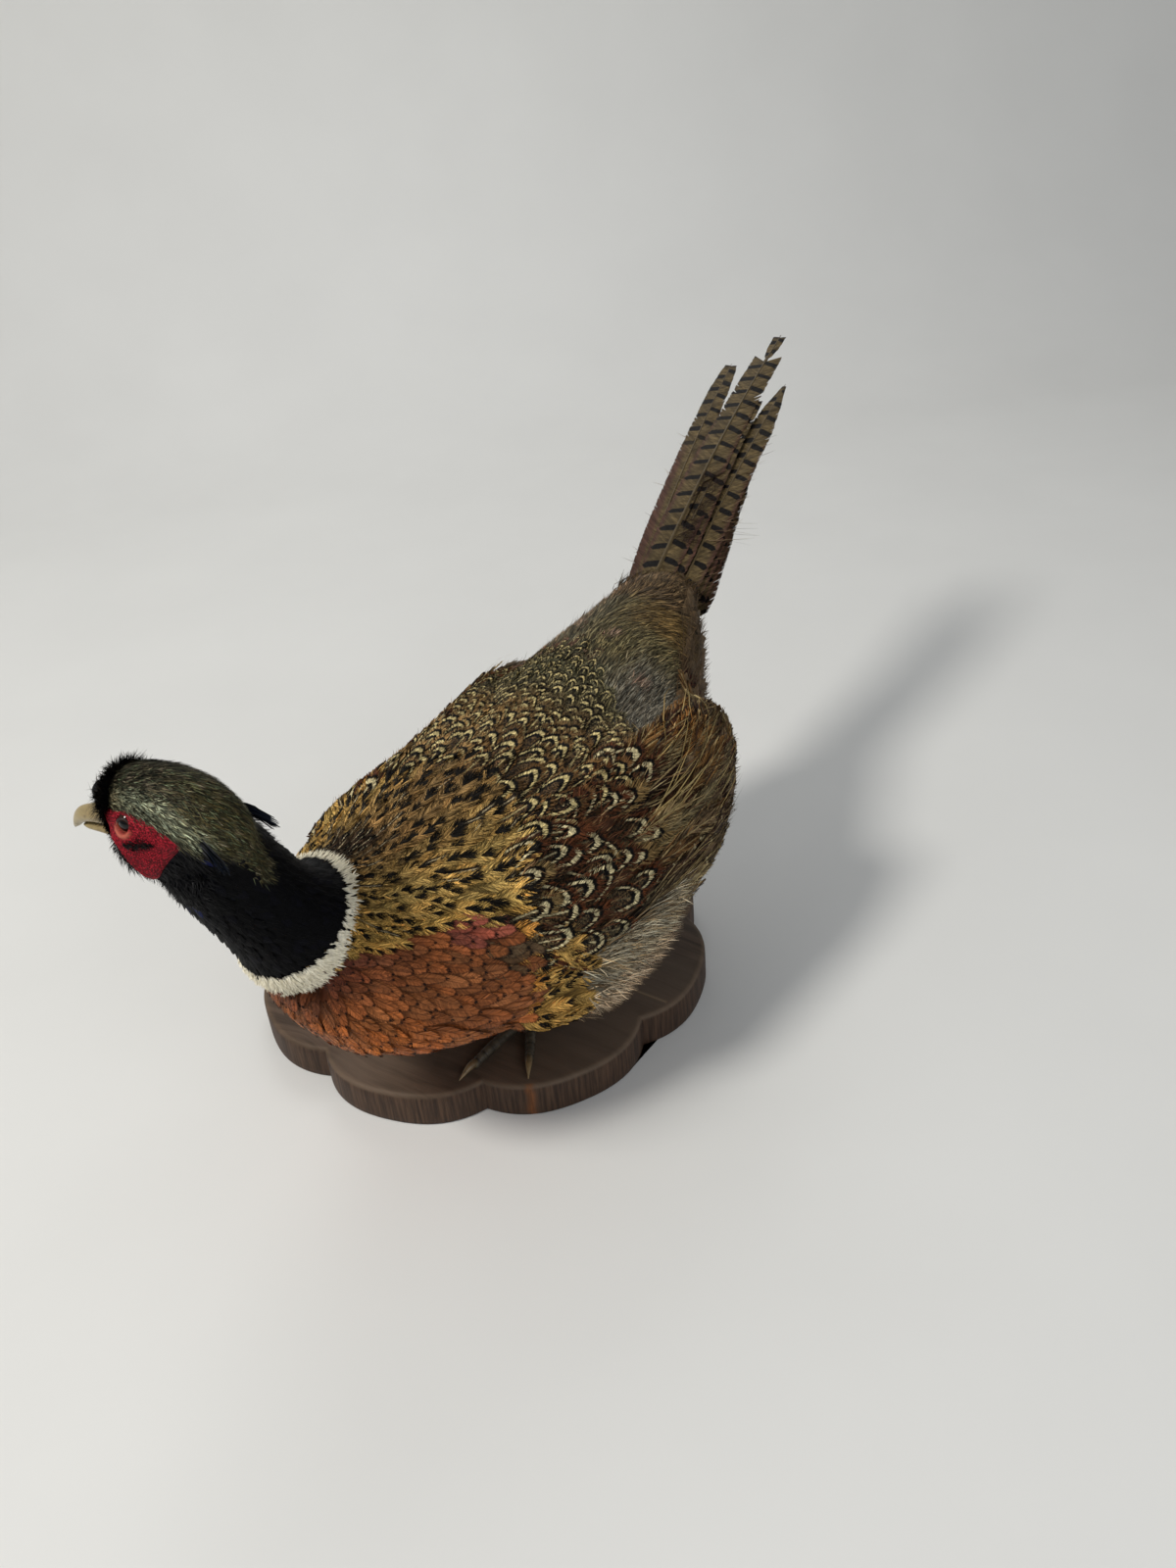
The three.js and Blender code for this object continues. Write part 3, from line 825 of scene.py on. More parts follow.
def loop_paint(at, seed):
    rear = smooth(at.y, -20, 50)
    side = smooth(at.round, 44, 52)
    far = smooth(at.turn, 4, -16) * smooth(at.y, 30, -10)
    pinkish = smooth(at.y, 54, 72) * (seed > 0.4)
    base = mixed("#6a5236", ("#55513b", rear), ("#7a6040", far), ("#6e5546", pinkish))
    edge = mixed("#6b4f2e", ("#5d5942", rear), ("#5e3c22", side), ("#8d7046", far), ("#735848", pinkish))
    fade = 1 - 0.8 * smooth(at.y - rump_start(at), -2, 20) * (seed > 0.25)
    return {"ground": varied(base, seed), "fringe": varied(edge, seed, 0.4), "mark": fade}


def covert_paint(at, seed):
    base = mixed("#584128", ("#7d6b4c", smooth(at.round, 70, 92)))
    edge = mixed("#55301b", ("#693a1f", smooth(at.round, 60, 90)), ("#6f5a38", (seed > 0.7) * 1.0))
    return {"ground": varied(base, seed), "fringe": varied(edge, seed, 0.4), "mark": np.ones_like(seed)}


def fringe_paint(at, seed):
    base = mixed("#5a351f", ("#432a1b", smooth(seed, 0.4, 0.5)), ("#8f6f4b", smooth(seed, 0.82, 0.84)))
    return {"ground": scrambled(base, seed, 0.3), "fringe": base * 0.6}


def flank_paint(at, seed):
    base = mixed("#bf7e32", ("#cba35a", smooth(at.y, -100, -84)))
    ground = varied(base, seed, 0.2)
    return {"ground": ground, "fringe": varied(base * 0.8, seed), "mark": np.ones_like(seed)}


def under_paint(at, seed):
    side = smooth(at.round, 130, 100) * smooth(at.y, -60, -20)
    base = mixed("#231a15", ("#432c1d", smooth(at.y, 20, 90)), ("#54432f", side))
    return {"ground": varied(base, seed), "fringe": varied(base * 1.4, seed)}


def neck_paint(at, seed):
    glint = (seed > 0.9) & (at.over_ring > 22) & (at.left > 9)
    base = mixed("#040406", ("#07070f", smooth(seed, 0.7, 1.0)), ("#1a2048", glint * 1.0))
    return {"ground": base, "fringe": base * 0.7}


def streaky(base, seed):
    """Hairs picked out darker and paler than their neighbours."""
    other = (seed * 17.3) % 1
    tone = np.where(other < 0.38, 0.28, np.where(other > 0.82, 2.5, 1.0))
    return varied(base * tone[:, None], seed, 0.3, 0.08)


def rump_paint(at, seed):
    slate = smooth(at.turn, 20, 34) * smooth(at.y, 96, 66)
    arc = smooth(at.y, 98, 112) * smooth(at.turn, -10, 30)
    maroon = smooth(at.turn, 55, 61) * smooth(at.y, 82, 89) * smooth(at.y, 116, 106)
    olive = smooth(at.turn, -30, 0) * smooth(at.y, 55, 75)
    rusty = smooth(at.turn, -28, -44) * (seed > 0.6)
    base = mixed("#635c48", ("#60563a", olive), ("#635d50", slate), ("#6d5530", arc * 0.8),
                 ("#5c4a33", smooth(at.y, 128, 138)), ("#3c190f", maroon), ("#7c6149", rusty))
    for y, turn in ((102, -34), (89, 6), (63, 39)):
        far = np.hypot(at.y - y, 1.3 * (at.turn - turn))
        base = mixed(base, ("#806857", smooth(far, 6.0, 3.5)))
    return {"ground": streaky(base, seed), "fringe": varied(base * 0.4, seed)}


def olive_limit(at):
    """How low the olive of the crown and nape comes, in the head's own up direction."""
    lateral = np.abs(at.left + 0.3 * np.maximum(0, -at.above))
    rear = np.interp(lateral, [0, 4, 8, 12, 16], [-27, -22, -11, -4, -1])
    front = np.full_like(rear, 5.0)
    return rear + (front - rear) * smooth(at.ahead, -14, -2)


def crown_paint(at, seed):
    lateral = np.abs(at.left)
    line = np.interp(at.ahead, [-24, -18, -8, 5, 16, 26], [-4, -1, 6, 9.5, 10, 9])
    streak = smooth(np.abs(at.above - line - 1.5), 6.5, 2.0) * smooth(lateral, 8, 12)
    streak = streak * smooth(at.ahead, -27, -20)
    clump = np.sin(0.9 * at.left + 0.4 * at.ahead) * np.sin(0.35 * at.ahead + 1.3 + 0.3 * at.above)
    clump = 0.5 + 0.3 * clump + 0.2 * np.sin(2.1 * at.left + 0.8 * at.above + 0.9 * at.ahead)
    base = mixed("#4a4535", ("#524a2c", smooth(at.ahead, 8, -22)), ("#4d5840", (seed > 0.7) * 0.7),
                 ("#5d5143", smooth(clump, 0.6, 0.9) * 0.7))
    base = base * (0.34 + 0.82 * clump)[:, None]
    base = mixed(base, ("#989d82", streak * (0.3 + 0.6 * seed)),
                 ("#8e7b58", streak * smooth(at.ahead, 12, 20) * 0.7),
                 ("#2c281b", smooth(at.above - olive_limit(at), 9, 0) * 0.6))
    return {"ground": streaky(base, seed), "fringe": base * 0.4}


def black_paint(at, seed):
    base = mixed("#0b0b0d", ("#2c251e", (at.ahead > 22) * (seed > 0.6)))
    return {"ground": varied(base, seed, 0.4), "fringe": base}


def ring_paint(at, seed):
    base = mixed("#f1ead4", ("#d6cdb2", smooth(seed, 0.5, 1)), ("#c2b99f", smooth(at.round, 70, 10) * 0.5))
    return {"ground": base, "fringe": base * 0.6}


def fluff_paint(at, seed):
    brown = (seed * 5.1 % 1 > 0.75) * 1.0
    base = mixed("#b1a78f", ("#9b8f75", smooth(seed, 0.4, 1)), ("#9a805c", brown),
                 ("#b39c80", smooth(at.z, 80, 60)))
    return {"ground": streaky(base, seed), "fringe": base * 0.4}


def quill_paint(at, seed):
    gold = smooth(at.round, 74, 60) * smooth(at.y, 10, 40) * (seed < 0.6) * 0.8
    outer = smooth(at.round, 84, 92) * (seed < 0.75)
    mottle = smooth(at.round, 96, 112)
    base = mixed("#8b673c", ("#50301f", smooth(seed, 0.26, 0.34)), ("#a8946a", smooth(seed, 0.64, 0.68)),
                 ("#2e1d17", smooth(seed, 0.80, 0.84)), ("#9a6a35", gold), ("#3b2a22", outer * 0.8),
                 ("#8b7c5a", mottle * 0.5))
    return {"ground": scrambled(base, seed, 0.3), "fringe": varied(base * 0.3, seed), "mark": outer}


def straw_paint(at, seed):
    base = mixed("#b39c66", ("#8c7446", smooth(seed, 0.3, 0.7)), ("#3a261a", smooth(seed, 0.78, 0.80)))
    return {"ground": scrambled(base, seed, 0.2), "fringe": base * 0.7, "mark": seed}


# ---------------------------------------------------------------- coat materials


def vane_inputs(g):
    """u along the vane, v across it, barb streaks, and the vane's distance from middle to edge."""
    uv = g.parts(g.uv("Vane"))
    size = g.parts(g.attribute("size"))
    u = uv[0]
    v = g.less(g.times(uv[1], 2.0), 1.0)
    flat = g.math("ABSOLUTE", v)
    along = g.times(u, size[0])
    across = g.times(flat, size[1])
    barb = g.less(along, g.times(across, 0.8))
    side = g.times(g.math("SIGN", v), 3.0)
    own = g.add(g.times(size[2], 91.0), side)
    streak = g.grain((barb, 2.1), (across, 0.16), own, detail=2.5, rough=0.6)
    return SimpleNamespace(u=u, v=v, flat=flat, along=along, across=across, seed=size[2], streak=streak)


def rounding(g, x, widest):
    """0 at the vane's middle and 1 all along its outline."""
    past = g.math("MAXIMUM", g.times(g.less(x.u, widest), 1.0 / (1.0 - widest)), 0.0)
    square = g.add(g.times(x.v, x.v), g.times(past, past))
    return g.math("SQRT", square)


def finish_vane(g, x, colour, contrast=0.55, bump=0.00025, barbs=True, root=0.32):
    """Streaks along the barbs and a darker root: partly dark down, partly painted shade under the next
    feather.
    """
    shade = g.add(g.times(g.step(x.streak, 0.3, 0.7), 2 * contrast), 1 - contrast)
    # painted shade, with some of the root's own dark down: darker towards the root, where the next feather
    # lies over it; root sets how dark
    shade = g.times(shade, g.add(g.times(g.step(x.u, 0.15, 0.66), 1 - root), root))
    if barbs:
        shade = g.times(shade, g.add(g.times(g.value("barb"), 1.6 * contrast), 1 - 0.8 * contrast))
    g.bump(g.add(x.streak, g.times(g.step(x.flat, 0.10, 0.0), 0.8)), bump, 0.7)
    return g.colour(g.shade(colour, shade))


def feather_graph(name, rough=0.62, **more):
    """A graph for feathers, which shine little."""
    more.setdefault("Specular_IOR_Level", 0.12)
    return Graph(name, Roughness=rough, **more)


def copper_material():
    """Rayed copper vanes with a dark fringe and a small notch at the tip."""
    g = feather_graph("copper_feathers", 0.5)
    x = vane_inputs(g)
    wild = g.less(x.streak, 0.5)
    r = g.add(rounding(g, x, 0.45), g.times(wild, 0.2))
    ground = g.attribute("ground")
    ray = g.grain((x.v, 5.0), (x.u, 1.2), (x.seed, 53.0))
    body = g.mix(g.step(ray, 0.34, 0.6), g.shade(ground, 0.78), g.shade(ground, 1.12))
    stem = g.times(g.step(x.flat, 0.14, 0.03), g.step(x.u, 0.8, 0.6))
    body = g.over(body, "#1a0f0a", stem, 0.35)
    colour = g.mix(g.step(r, 0.84, 0.95), body, g.attribute("fringe"))
    notch = g.times(g.step(g.add(x.flat, wild), 0.28, 0.06), g.step(x.u, 0.90, 0.96))
    colour = g.over(colour, "#0e0907", notch)
    # root: how dark the painted shade at the root gets
    return finish_vane(g, x, colour, 0.3, root=0.55)


def wedge_graph(name, reach, spread):
    """Pale vanes with a black wedge at the tip: reach is how long it is, spread how wide."""
    g = feather_graph(name)
    x = vane_inputs(g)
    soft = 0.05
    wild = g.times(g.less(x.seed, 0.5), 0.22)
    start = g.add(1.0 - reach, wild)
    grow = g.times(g.less(x.u, start), spread / reach, g.value("mark"))
    wave = g.times(g.less(x.streak, 0.5), 0.25)
    inside = g.step(g.add(g.less(x.flat, grow), wave), soft, -soft)
    wedge = g.times(inside, g.step(x.u, 1 - reach, 1 - reach + 0.06))
    body = g.own(g.step(x.flat, 0.5, 1.0))
    colour = g.mix(g.times(wedge, g.step(x.seed, 0.06, 0.12)), body, "#15120e")
    return g, x, colour


def mantle_material():
    """The wedge, with a dark middle on some feathers and a pale shaft where it is dark."""
    g, x, colour = wedge_graph("gold_feathers", 0.38, 0.80)
    bare = g.value("shaft")
    centre = g.times(g.step(x.seed, 0.87, 0.90), g.step(g.add(x.flat, g.times(x.u, 0.25)), 0.55, 0.40))
    colour = g.over(colour, "#2a2119", centre)
    stem = g.times(g.step(x.flat, 0.10, 0.04), g.math("MAXIMUM", bare, centre))
    colour = g.over(colour, "#b5a582", stem, g.step(x.u, 1.0, 0.85))
    return finish_vane(g, x, colour, 0.7, 0.0004)


def flank_material():
    g, x, colour = wedge_graph("flank_feathers", 0.30, 0.75)
    return finish_vane(g, x, colour, 0.5, 0.0004)


def loop_material(name, pale, reach=0.62, wide=0.11, tip=0.0, spread=0.0):
    """A pale loop edged in black round the vane, with a mottled middle and a brown fringe.

    The loop's size varies by spread from feather to feather, and it starts tip along the vane.
    """
    g = feather_graph(name)
    x = vane_inputs(g)
    wave = g.times(g.less(g.grain(x.v, x.u, (x.seed, 40.0), scale=4.0), 0.5), 0.2)
    size = g.times(g.less(g.math("FRACT", g.times(x.seed, 7.7)), 0.5), spread)
    r = g.add(g.add(rounding(g, x, 0.42), wave), g.add(g.times(g.less(x.streak, 0.5), 0.12), size))
    ahead = g.step(x.u, tip - 0.06, tip + 0.06)
    speck = g.grain((x.along, 0.9), (x.v, 3.0), (x.seed, 17.0), scale=1.6)
    centre = g.mix(g.step(speck, 0.42, 0.58), "#1b140e", g.attribute("ground"))
    stem = g.times(g.step(x.flat, 0.09, 0.03), g.step(x.seed, 0.35, 0.55))
    centre = g.over(centre, pale, stem)
    colour = g.mix(g.times(g.step(r, reach - 0.18, reach - 0.12), ahead), centre, "#0d0a08")
    loop = g.times(g.band(r, reach, reach + wide, 0.02), ahead)
    colour = g.over(colour, pale, loop)
    colour = g.over(colour, g.attribute("fringe"), g.step(r, reach + wide + 0.10, reach + wide + 0.16))
    plain = g.own(g.step(x.flat, 0.2, 0.8))
    colour = g.mix(g.value("mark"), plain, colour)
    return finish_vane(g, x, colour, 0.5, 0.0004)


def plain_material(name, rough=0.6, contrast=0.5, **more):
    """Sheets in one colour with a fringe of another."""
    g = feather_graph(name, rough, **more)
    x = vane_inputs(g)
    r = rounding(g, x, 0.45)
    colour = g.own(g.step(r, 0.5, 1.0))
    return finish_vane(g, x, colour, contrast, barbs=False)


def quill_material():
    """Mottled brown vanes: pale strands, dots on the outer ones, painted shadow at the edges, a pale shaft.
    """
    g = feather_graph("quill_feathers", 0.58)
    x = vane_inputs(g)
    tone = g.value("barb")
    mottle = g.grain((x.u, 5.0), (x.v, 1.6), (x.seed, 31.0), detail=3.0)
    dark = g.step(g.add(mottle, g.times(tone, 0.2)), 0.62, 0.50)
    colour = g.own(dark)
    pale = g.times(g.step(tone, 0.76, 0.80), g.step(x.flat, 0.2, 0.5))
    colour = g.over(colour, "#b7a171", pale, 0.65)
    dots = g.grain((x.along, 0.30), (x.v, 1.1), (x.seed, 23.0), detail=1.0)
    dots = g.times(g.step(dots, 0.63, 0.67), g.value("mark"), g.step(x.flat, 0.2, 0.4))
    colour = g.over(colour, "#cbbd93", dots)
    # painted shadow: a dark band along each vane's edge, where it meets the next quill
    gap = g.times(g.step(x.flat, 0.70, 0.95), g.step(x.u, 0.97, 0.88))
    colour = g.over(colour, "#150e0a", gap, 0.75)
    stem = g.step(x.flat, 0.07, 0.03)
    colour = g.over(colour, "#b29c6e", stem, 0.85)
    return finish_vane(g, x, colour, 0.36, 0.0004)


def hair_material(name, rough=0.6):
    """Hairlike tufts, darker at the root."""
    g = feather_graph(name, rough)
    uv = g.parts(g.uv("Vane"))
    seed = g.parts(g.attribute("size"))[2]
    fine = g.grain((uv[0], 3.0), (seed, 71.0))
    colour = g.own(g.step(uv[0], 0.5, 0.05))
    return g.colour(g.shade(colour, g.add(0.5, g.times(fine, 1.0))))


def skin_material():
    g = Graph("skin_under_coat", Roughness=0.75, Specular_IOR_Level=0.2)
    spots = g.noise(g.position(), 350.0, 3.0)
    colour = g.shade(g.attribute("ground"), g.add(0.35, g.times(spots, 0.5)))
    g.bump(spots, 0.0006, 0.6)
    return g.colour(colour)


# ---------------------------------------------------------------- coat pieces


def skin_paint(points):
    """The coat's colours on the skin under it."""
    at = places(points)
    seed = np.full(len(points), 0.5)
    base = under_paint(at, seed)["ground"]
    for where, paint in ((in_quills, covert_paint), (in_mantle, mantle_paint), (in_loops, loop_paint),
                         (in_coverts, covert_paint), (in_flank, flank_paint),
                         (in_copper, copper_paint), (in_rump, rump_paint)):
        base[where(at)] = paint(at, seed)["ground"][where(at)]
    base[at.over_ring > 0] = linear("#0b0d16")
    return base


SEAM_ROOM = 1.05  # the unwrap's width, with a margin for quads that cross its seam


def tuck_seam(piece):
    """Puts quads that cross the unwrap's seam, under the belly, in a margin at the map's edge."""
    data = piece.data.uv_layers["OFBake"].data
    corners = read(data, "uv", 2).reshape(-1, 4, 2)
    across = np.ptp(corners[..., 0], axis=1) > 0.5
    corners[..., 0] += across[:, None] & (corners[..., 0] < 0.5)
    corners[..., 0] = np.minimum(corners[..., 0] / SEAM_ROOM, 1)
    data.foreach_set("uv", corners.ravel())


def build_skin(skin):
    """The skin itself as a piece, which shows only where the coat is thin."""
    at = places(skin.points)
    maps = {"OFBake": np.stack([at.turn / 360 + 0.5, skin.t / skin.t.max()], 1)}
    values = {"ground": skin_paint(skin.points)}
    piece = make_mesh("skin", skin.points, skin.quads, maps, values, [skin_material()])
    tuck_seam(piece)
    settle(piece, "body_plumage", *FLESH)


def coat(name, slot, material, *parts):
    """One piece joined from its sets of feathers or tufts."""
    settle(make_mesh(name, *merged(parts), [material]), slot)


# Each tract below takes the skin, the skin's t at the white ring, and random draws of its own.


def breast(skin, ring, rng):
    pitch = lambda t: 5.0 + 4.4 * float(smooth(t - ring, -10, 70))
    wide = lambda at: 2.8 + 2.4 * smooth(at.over_ring, -10, -60)
    roots = skin.rows(pitch, wide, in_copper, ring - 14, 0.10, 9.0, rng)
    step = np.array([pitch(t) for t in roots[2]])
    half = 0.82 * wide(places(roots[0]))
    coat("breast_feathers", "body_plumage", copper_material(),
         vanes(skin, roots, 2.4 * step, half, 18, copper_paint, rng, slope=0.10, swing=6, bend=4,
               fray=0.03, spread=2, slant=40, patch=0.02, stem=0.12, tilt=0.05, outline=pointed_outline))


def mantle(skin, ring, rng):
    pitch = lambda t: 4.4 + 4.6 * float(smooth(t - ring, 5, 80))
    wide = lambda at: 4.4 + 3.4 * smooth(at.over_ring, -12, -60)
    roots = skin.rows(pitch, wide, in_mantle, ring - 14, 0.2, 12.0, rng)
    step = np.array([pitch(t) for t in roots[2]])
    coat("mantle_feathers", "body_plumage", mantle_material(),
         vanes(skin, roots, 3.1 * step, 0.60 * step, 26, mantle_paint, rng, swing=8, bend=6, fray=0.08,
               spread=3, slant=60, stem=0.16, lift=0.3, tilt=0.15))


def back(skin, ring, rng):
    pitch = lambda t: 12.0 - 5.5 * float(smooth(t - ring, 100, 190))
    wide = lambda at: 12.5 - 6.2 * smooth(at.y, -50, 50)
    roots = skin.rows(pitch, wide, in_loops, ring, 0.2, 17.0, rng)
    at = places(roots[0] + roots[1] * 17.0)
    sparse = 0.72 * smooth(at.y - rump_start(at), 4, 18)
    keep = rng.random(len(roots[0])) > sparse
    roots = [row[keep] for row in roots]
    size = wide(places(roots[0]))
    coat("back_feathers", "body_plumage",
         loop_material("looped_feathers", "#c6b47e", wide=0.13, spread=0.12),
         vanes(skin, roots, 2.6 * size, 0.60 * size, 24, loop_paint, rng, swing=11, bend=8, fray=0.10,
               spread=4, slant=56, patch=0.04, stem=0.16, lift=0.35, tilt=0.14))


def coverts(skin, ring, rng):
    roots = skin.rows(12.8, 12.4, in_coverts, ring, 0.26, 20.0, rng)
    coat("covert_feathers", "wing_plumage",
         loop_material("covert_feathers", "#cdbf94", 0.50, 0.15, 0.42, 0.34),
         vanes(skin, roots, 33.0, 7.5, 32, covert_paint, rng, swing=14, bend=10, fray=0.14, spread=5,
               slant=56, patch=0.05, stem=0.18, lift=0.5, tilt=0.14))
    coat("covert_fringe_tufts", "wing_plumage", hair_material("covert_fringe_hair"),
         tufts(skin, 4200, in_coverts, 11.0, 0.34, fringe_paint, rng, tip=0.3, jitter=16, slope=0.05,
               base=0.15, bend=8.0, rows=4, band=(0, 2)),
         tufts(skin, 420, in_coverts, 9.0, 0.22, fringe_paint, rng, tip=2.0, jitter=20, slope=0.12,
               base=1.6, bend=8.0, rows=4, band=(1, 2)))


def flank(skin, ring, rng):
    roots = skin.rows(8.0, 7.0, in_flank, ring, 0.16, 16.0, rng)
    coat("flank_feathers", "flank_plumage", flank_material(),
         vanes(skin, roots, 24.0, 5.2, 24, flank_paint, rng, swing=10, bend=8, fray=0.10, spread=4,
               slant=58, patch=0.05, stem=0.16, lift=0.5, tilt=0.16))


def underparts(skin, ring, rng):
    where = lambda at: in_under(at) & ~in_flank(at)
    roots = skin.rows(9.0, 9.0, where, ring, 0.2, 16.0, rng)
    coat("under_feathers", "body_plumage", plain_material("dark_feathers"),
         sheets(skin, roots, 26.0, 6.0, 7, 4, point=0.6, tip=1.5, cup=0.1, jitter=12, ragged=0.2,
                paint=under_paint, rng=rng))


def neck(skin, ring, rng):
    def where(at):
        on_neck = (at.over_ring > 2.5) & ((at.above < olive_limit(at) + 2) | (at.over_ring < 30))
        face = (at.ahead > -13) & (at.above > -20) & (np.abs(at.left) > 8)
        return on_neck & ~face

    roots = skin.rows(3.3, 3.4, where, 20.0, 0.15, 0.0, rng)
    coat("neck_feathers", "neck_plumage",
         plain_material("neck_gloss", 0.55, 0.6, Specular_IOR_Level=0.06),
         sheets(skin, roots, 9.0, 2.3, 5, 2, point=0.6, slope=0.12, tip=0.5, cup=0.1, jitter=9,
                ragged=0.1, patch=0.01, paint=neck_paint, rng=rng))


def tufts(skin, count, where, length, half, paint, rng, tip=1.0, jitter=12, slope=0.1, base=0.3,
          turn=0.0, rows=3, bend=0.0, comb=None, band=(0, 1)):
    """Thin tufts strewn over the skin. comb(at, flow) gives the way that they lie, if not the flow."""
    roots = list(skin.scatter(count, where, rng))
    if comb is not None:
        roots[1] = comb(places(roots[0]), roots[1])
    size = length * (0.6 + 0.8 * rng.random(count))
    wide = half * (0.6 + 0.8 * rng.random(count))
    return sheets(skin, roots, size, wide, rows, 1, widest=0.3, point=0.9, base=base, slope=slope,
                  tip=tip, cup=0.0, turn=turn, jitter=jitter, bend=bend, ragged=0.0, patch=HAIR_PATCH,
                  drape=False, band=band, paint=paint, rng=rng)


def rump_comb(at, flow):
    """Rump hair runs rearwards, then round the tail's root to the left side and down."""
    sweep = np.radians(68) * smooth(at.y, 66, 112) * smooth(at.turn, -34, -4) * smooth(at.y, 142, 130)
    way = np.stack([np.sin(sweep), np.cos(sweep), 0 * sweep], -1)
    down = smooth(at.turn, 36, 62) * smooth(at.y, 84, 108)
    return unit(lerp(way, np.array([0.45, 0.0, -1.0]), down))


def rump(skin, ring, rng):
    hair = lambda at: in_rump(at) & (at.y > rump_start(at))
    coat("rump_tufts", "body_plumage", hair_material("rump_hair"),
         tufts(skin, 19000, hair, 12.0, 0.40, rump_paint, rng, tip=1.2, jitter=13, slope=0.08,
               comb=rump_comb))


def crown(skin, ring, rng):
    where = lambda at: (at.over_ring > 20) & (at.above > olive_limit(at)) & (at.ahead < 27)
    coat("crown_tufts", "crown_plumage", hair_material("crown_hair"),
         tufts(skin, 9000, where, 6.5, 0.26, crown_paint, rng, tip=0.6, slope=0.12))


def white_ring(skin, ring, rng):
    def where(at):
        front = smooth(at.round, 62, 105)
        low = -0.6 - 6.0 * front
        high = 1.7 + 4.3 * front
        return (at.over_ring > low) & (at.over_ring < high) & (at.y < -110)

    coat("ring_tufts", "neck_plumage", hair_material("ring_hair"),
         tufts(skin, 3800, where, 4.4, 0.34, ring_paint, rng, jitter=15, slope=0.2, base=1.4))


def quills(skin, ring, rng):
    roots = skin.rows(11.0, 9.0, in_quills, ring, 0.3, 18.0, rng)
    place = places(roots[0])
    turn = np.sign(place.turn) * np.interp(place.round, [50, 75, 118], [7, 4, -10])
    length = rng.uniform(38, 64, len(turn))
    half = rng.uniform(6.0, 9.5, len(turn))
    coat("wing_quills", "wing_plumage", quill_material(),
         vanes(skin, roots, length, half, 46, quill_paint, rng, slope=0.06, base=0.6, swing=6, bend=7,
               fray=0.09, spread=5, slant=66, stem=0.4, lift=0.5, tilt=0.2, turn=turn,
               outline=quill_outline, samples=9))
    loose = lambda at: in_quills(at) & (at.y > -22)
    parts = [tufts(skin, 300, loose, 15.0, 0.26, quill_paint, rng, tip=2.0, jitter=16, slope=0.08,
                   base=2.6, bend=12.0, rows=5, band=(0, 3))]
    for sign in (-1, 1):
        long = lambda at: (in_quills(at) & (at.y > -20) & (at.y < 42) & (at.round < 104)
                           & (at.turn * sign > 0))
        parts.append(tufts(skin, 40, long, 40.0, 0.28, straw_paint, rng, tip=3.0, jitter=8, slope=0.035,
                           base=3.4, turn=3.0 * sign, bend=9.0 * sign, rows=9,
                           band=(1.5 + 0.5 * sign, 3)))
    coat("wing_loose_barbs", "wing_plumage", hair_material("loose_barb_hair"), *parts)


def fluff(skin, ring, rng):
    side = lambda at: on_body(at) & (at.round > 98) & (at.round < 140) & (at.y > -66) & (at.y < -4)
    under = lambda at: in_under(at) & (at.y > -40)
    coat("fluff_tufts", "flank_plumage", hair_material("fluff_hair"),
         tufts(skin, 7000, side, 13.0, 0.34, fluff_paint, rng, tip=4.0, jitter=22, slope=0.16, base=1.0,
               bend=16.0, rows=4, band=(0, 2)),
         tufts(skin, 7000, under, 13.0, 0.36, under_paint, rng, tip=2.5, jitter=22, slope=0.14,
               base=1.0, band=(1, 2)))


# ---------------------------------------------------------------- barbed feathers


BARB_STEPS = 3


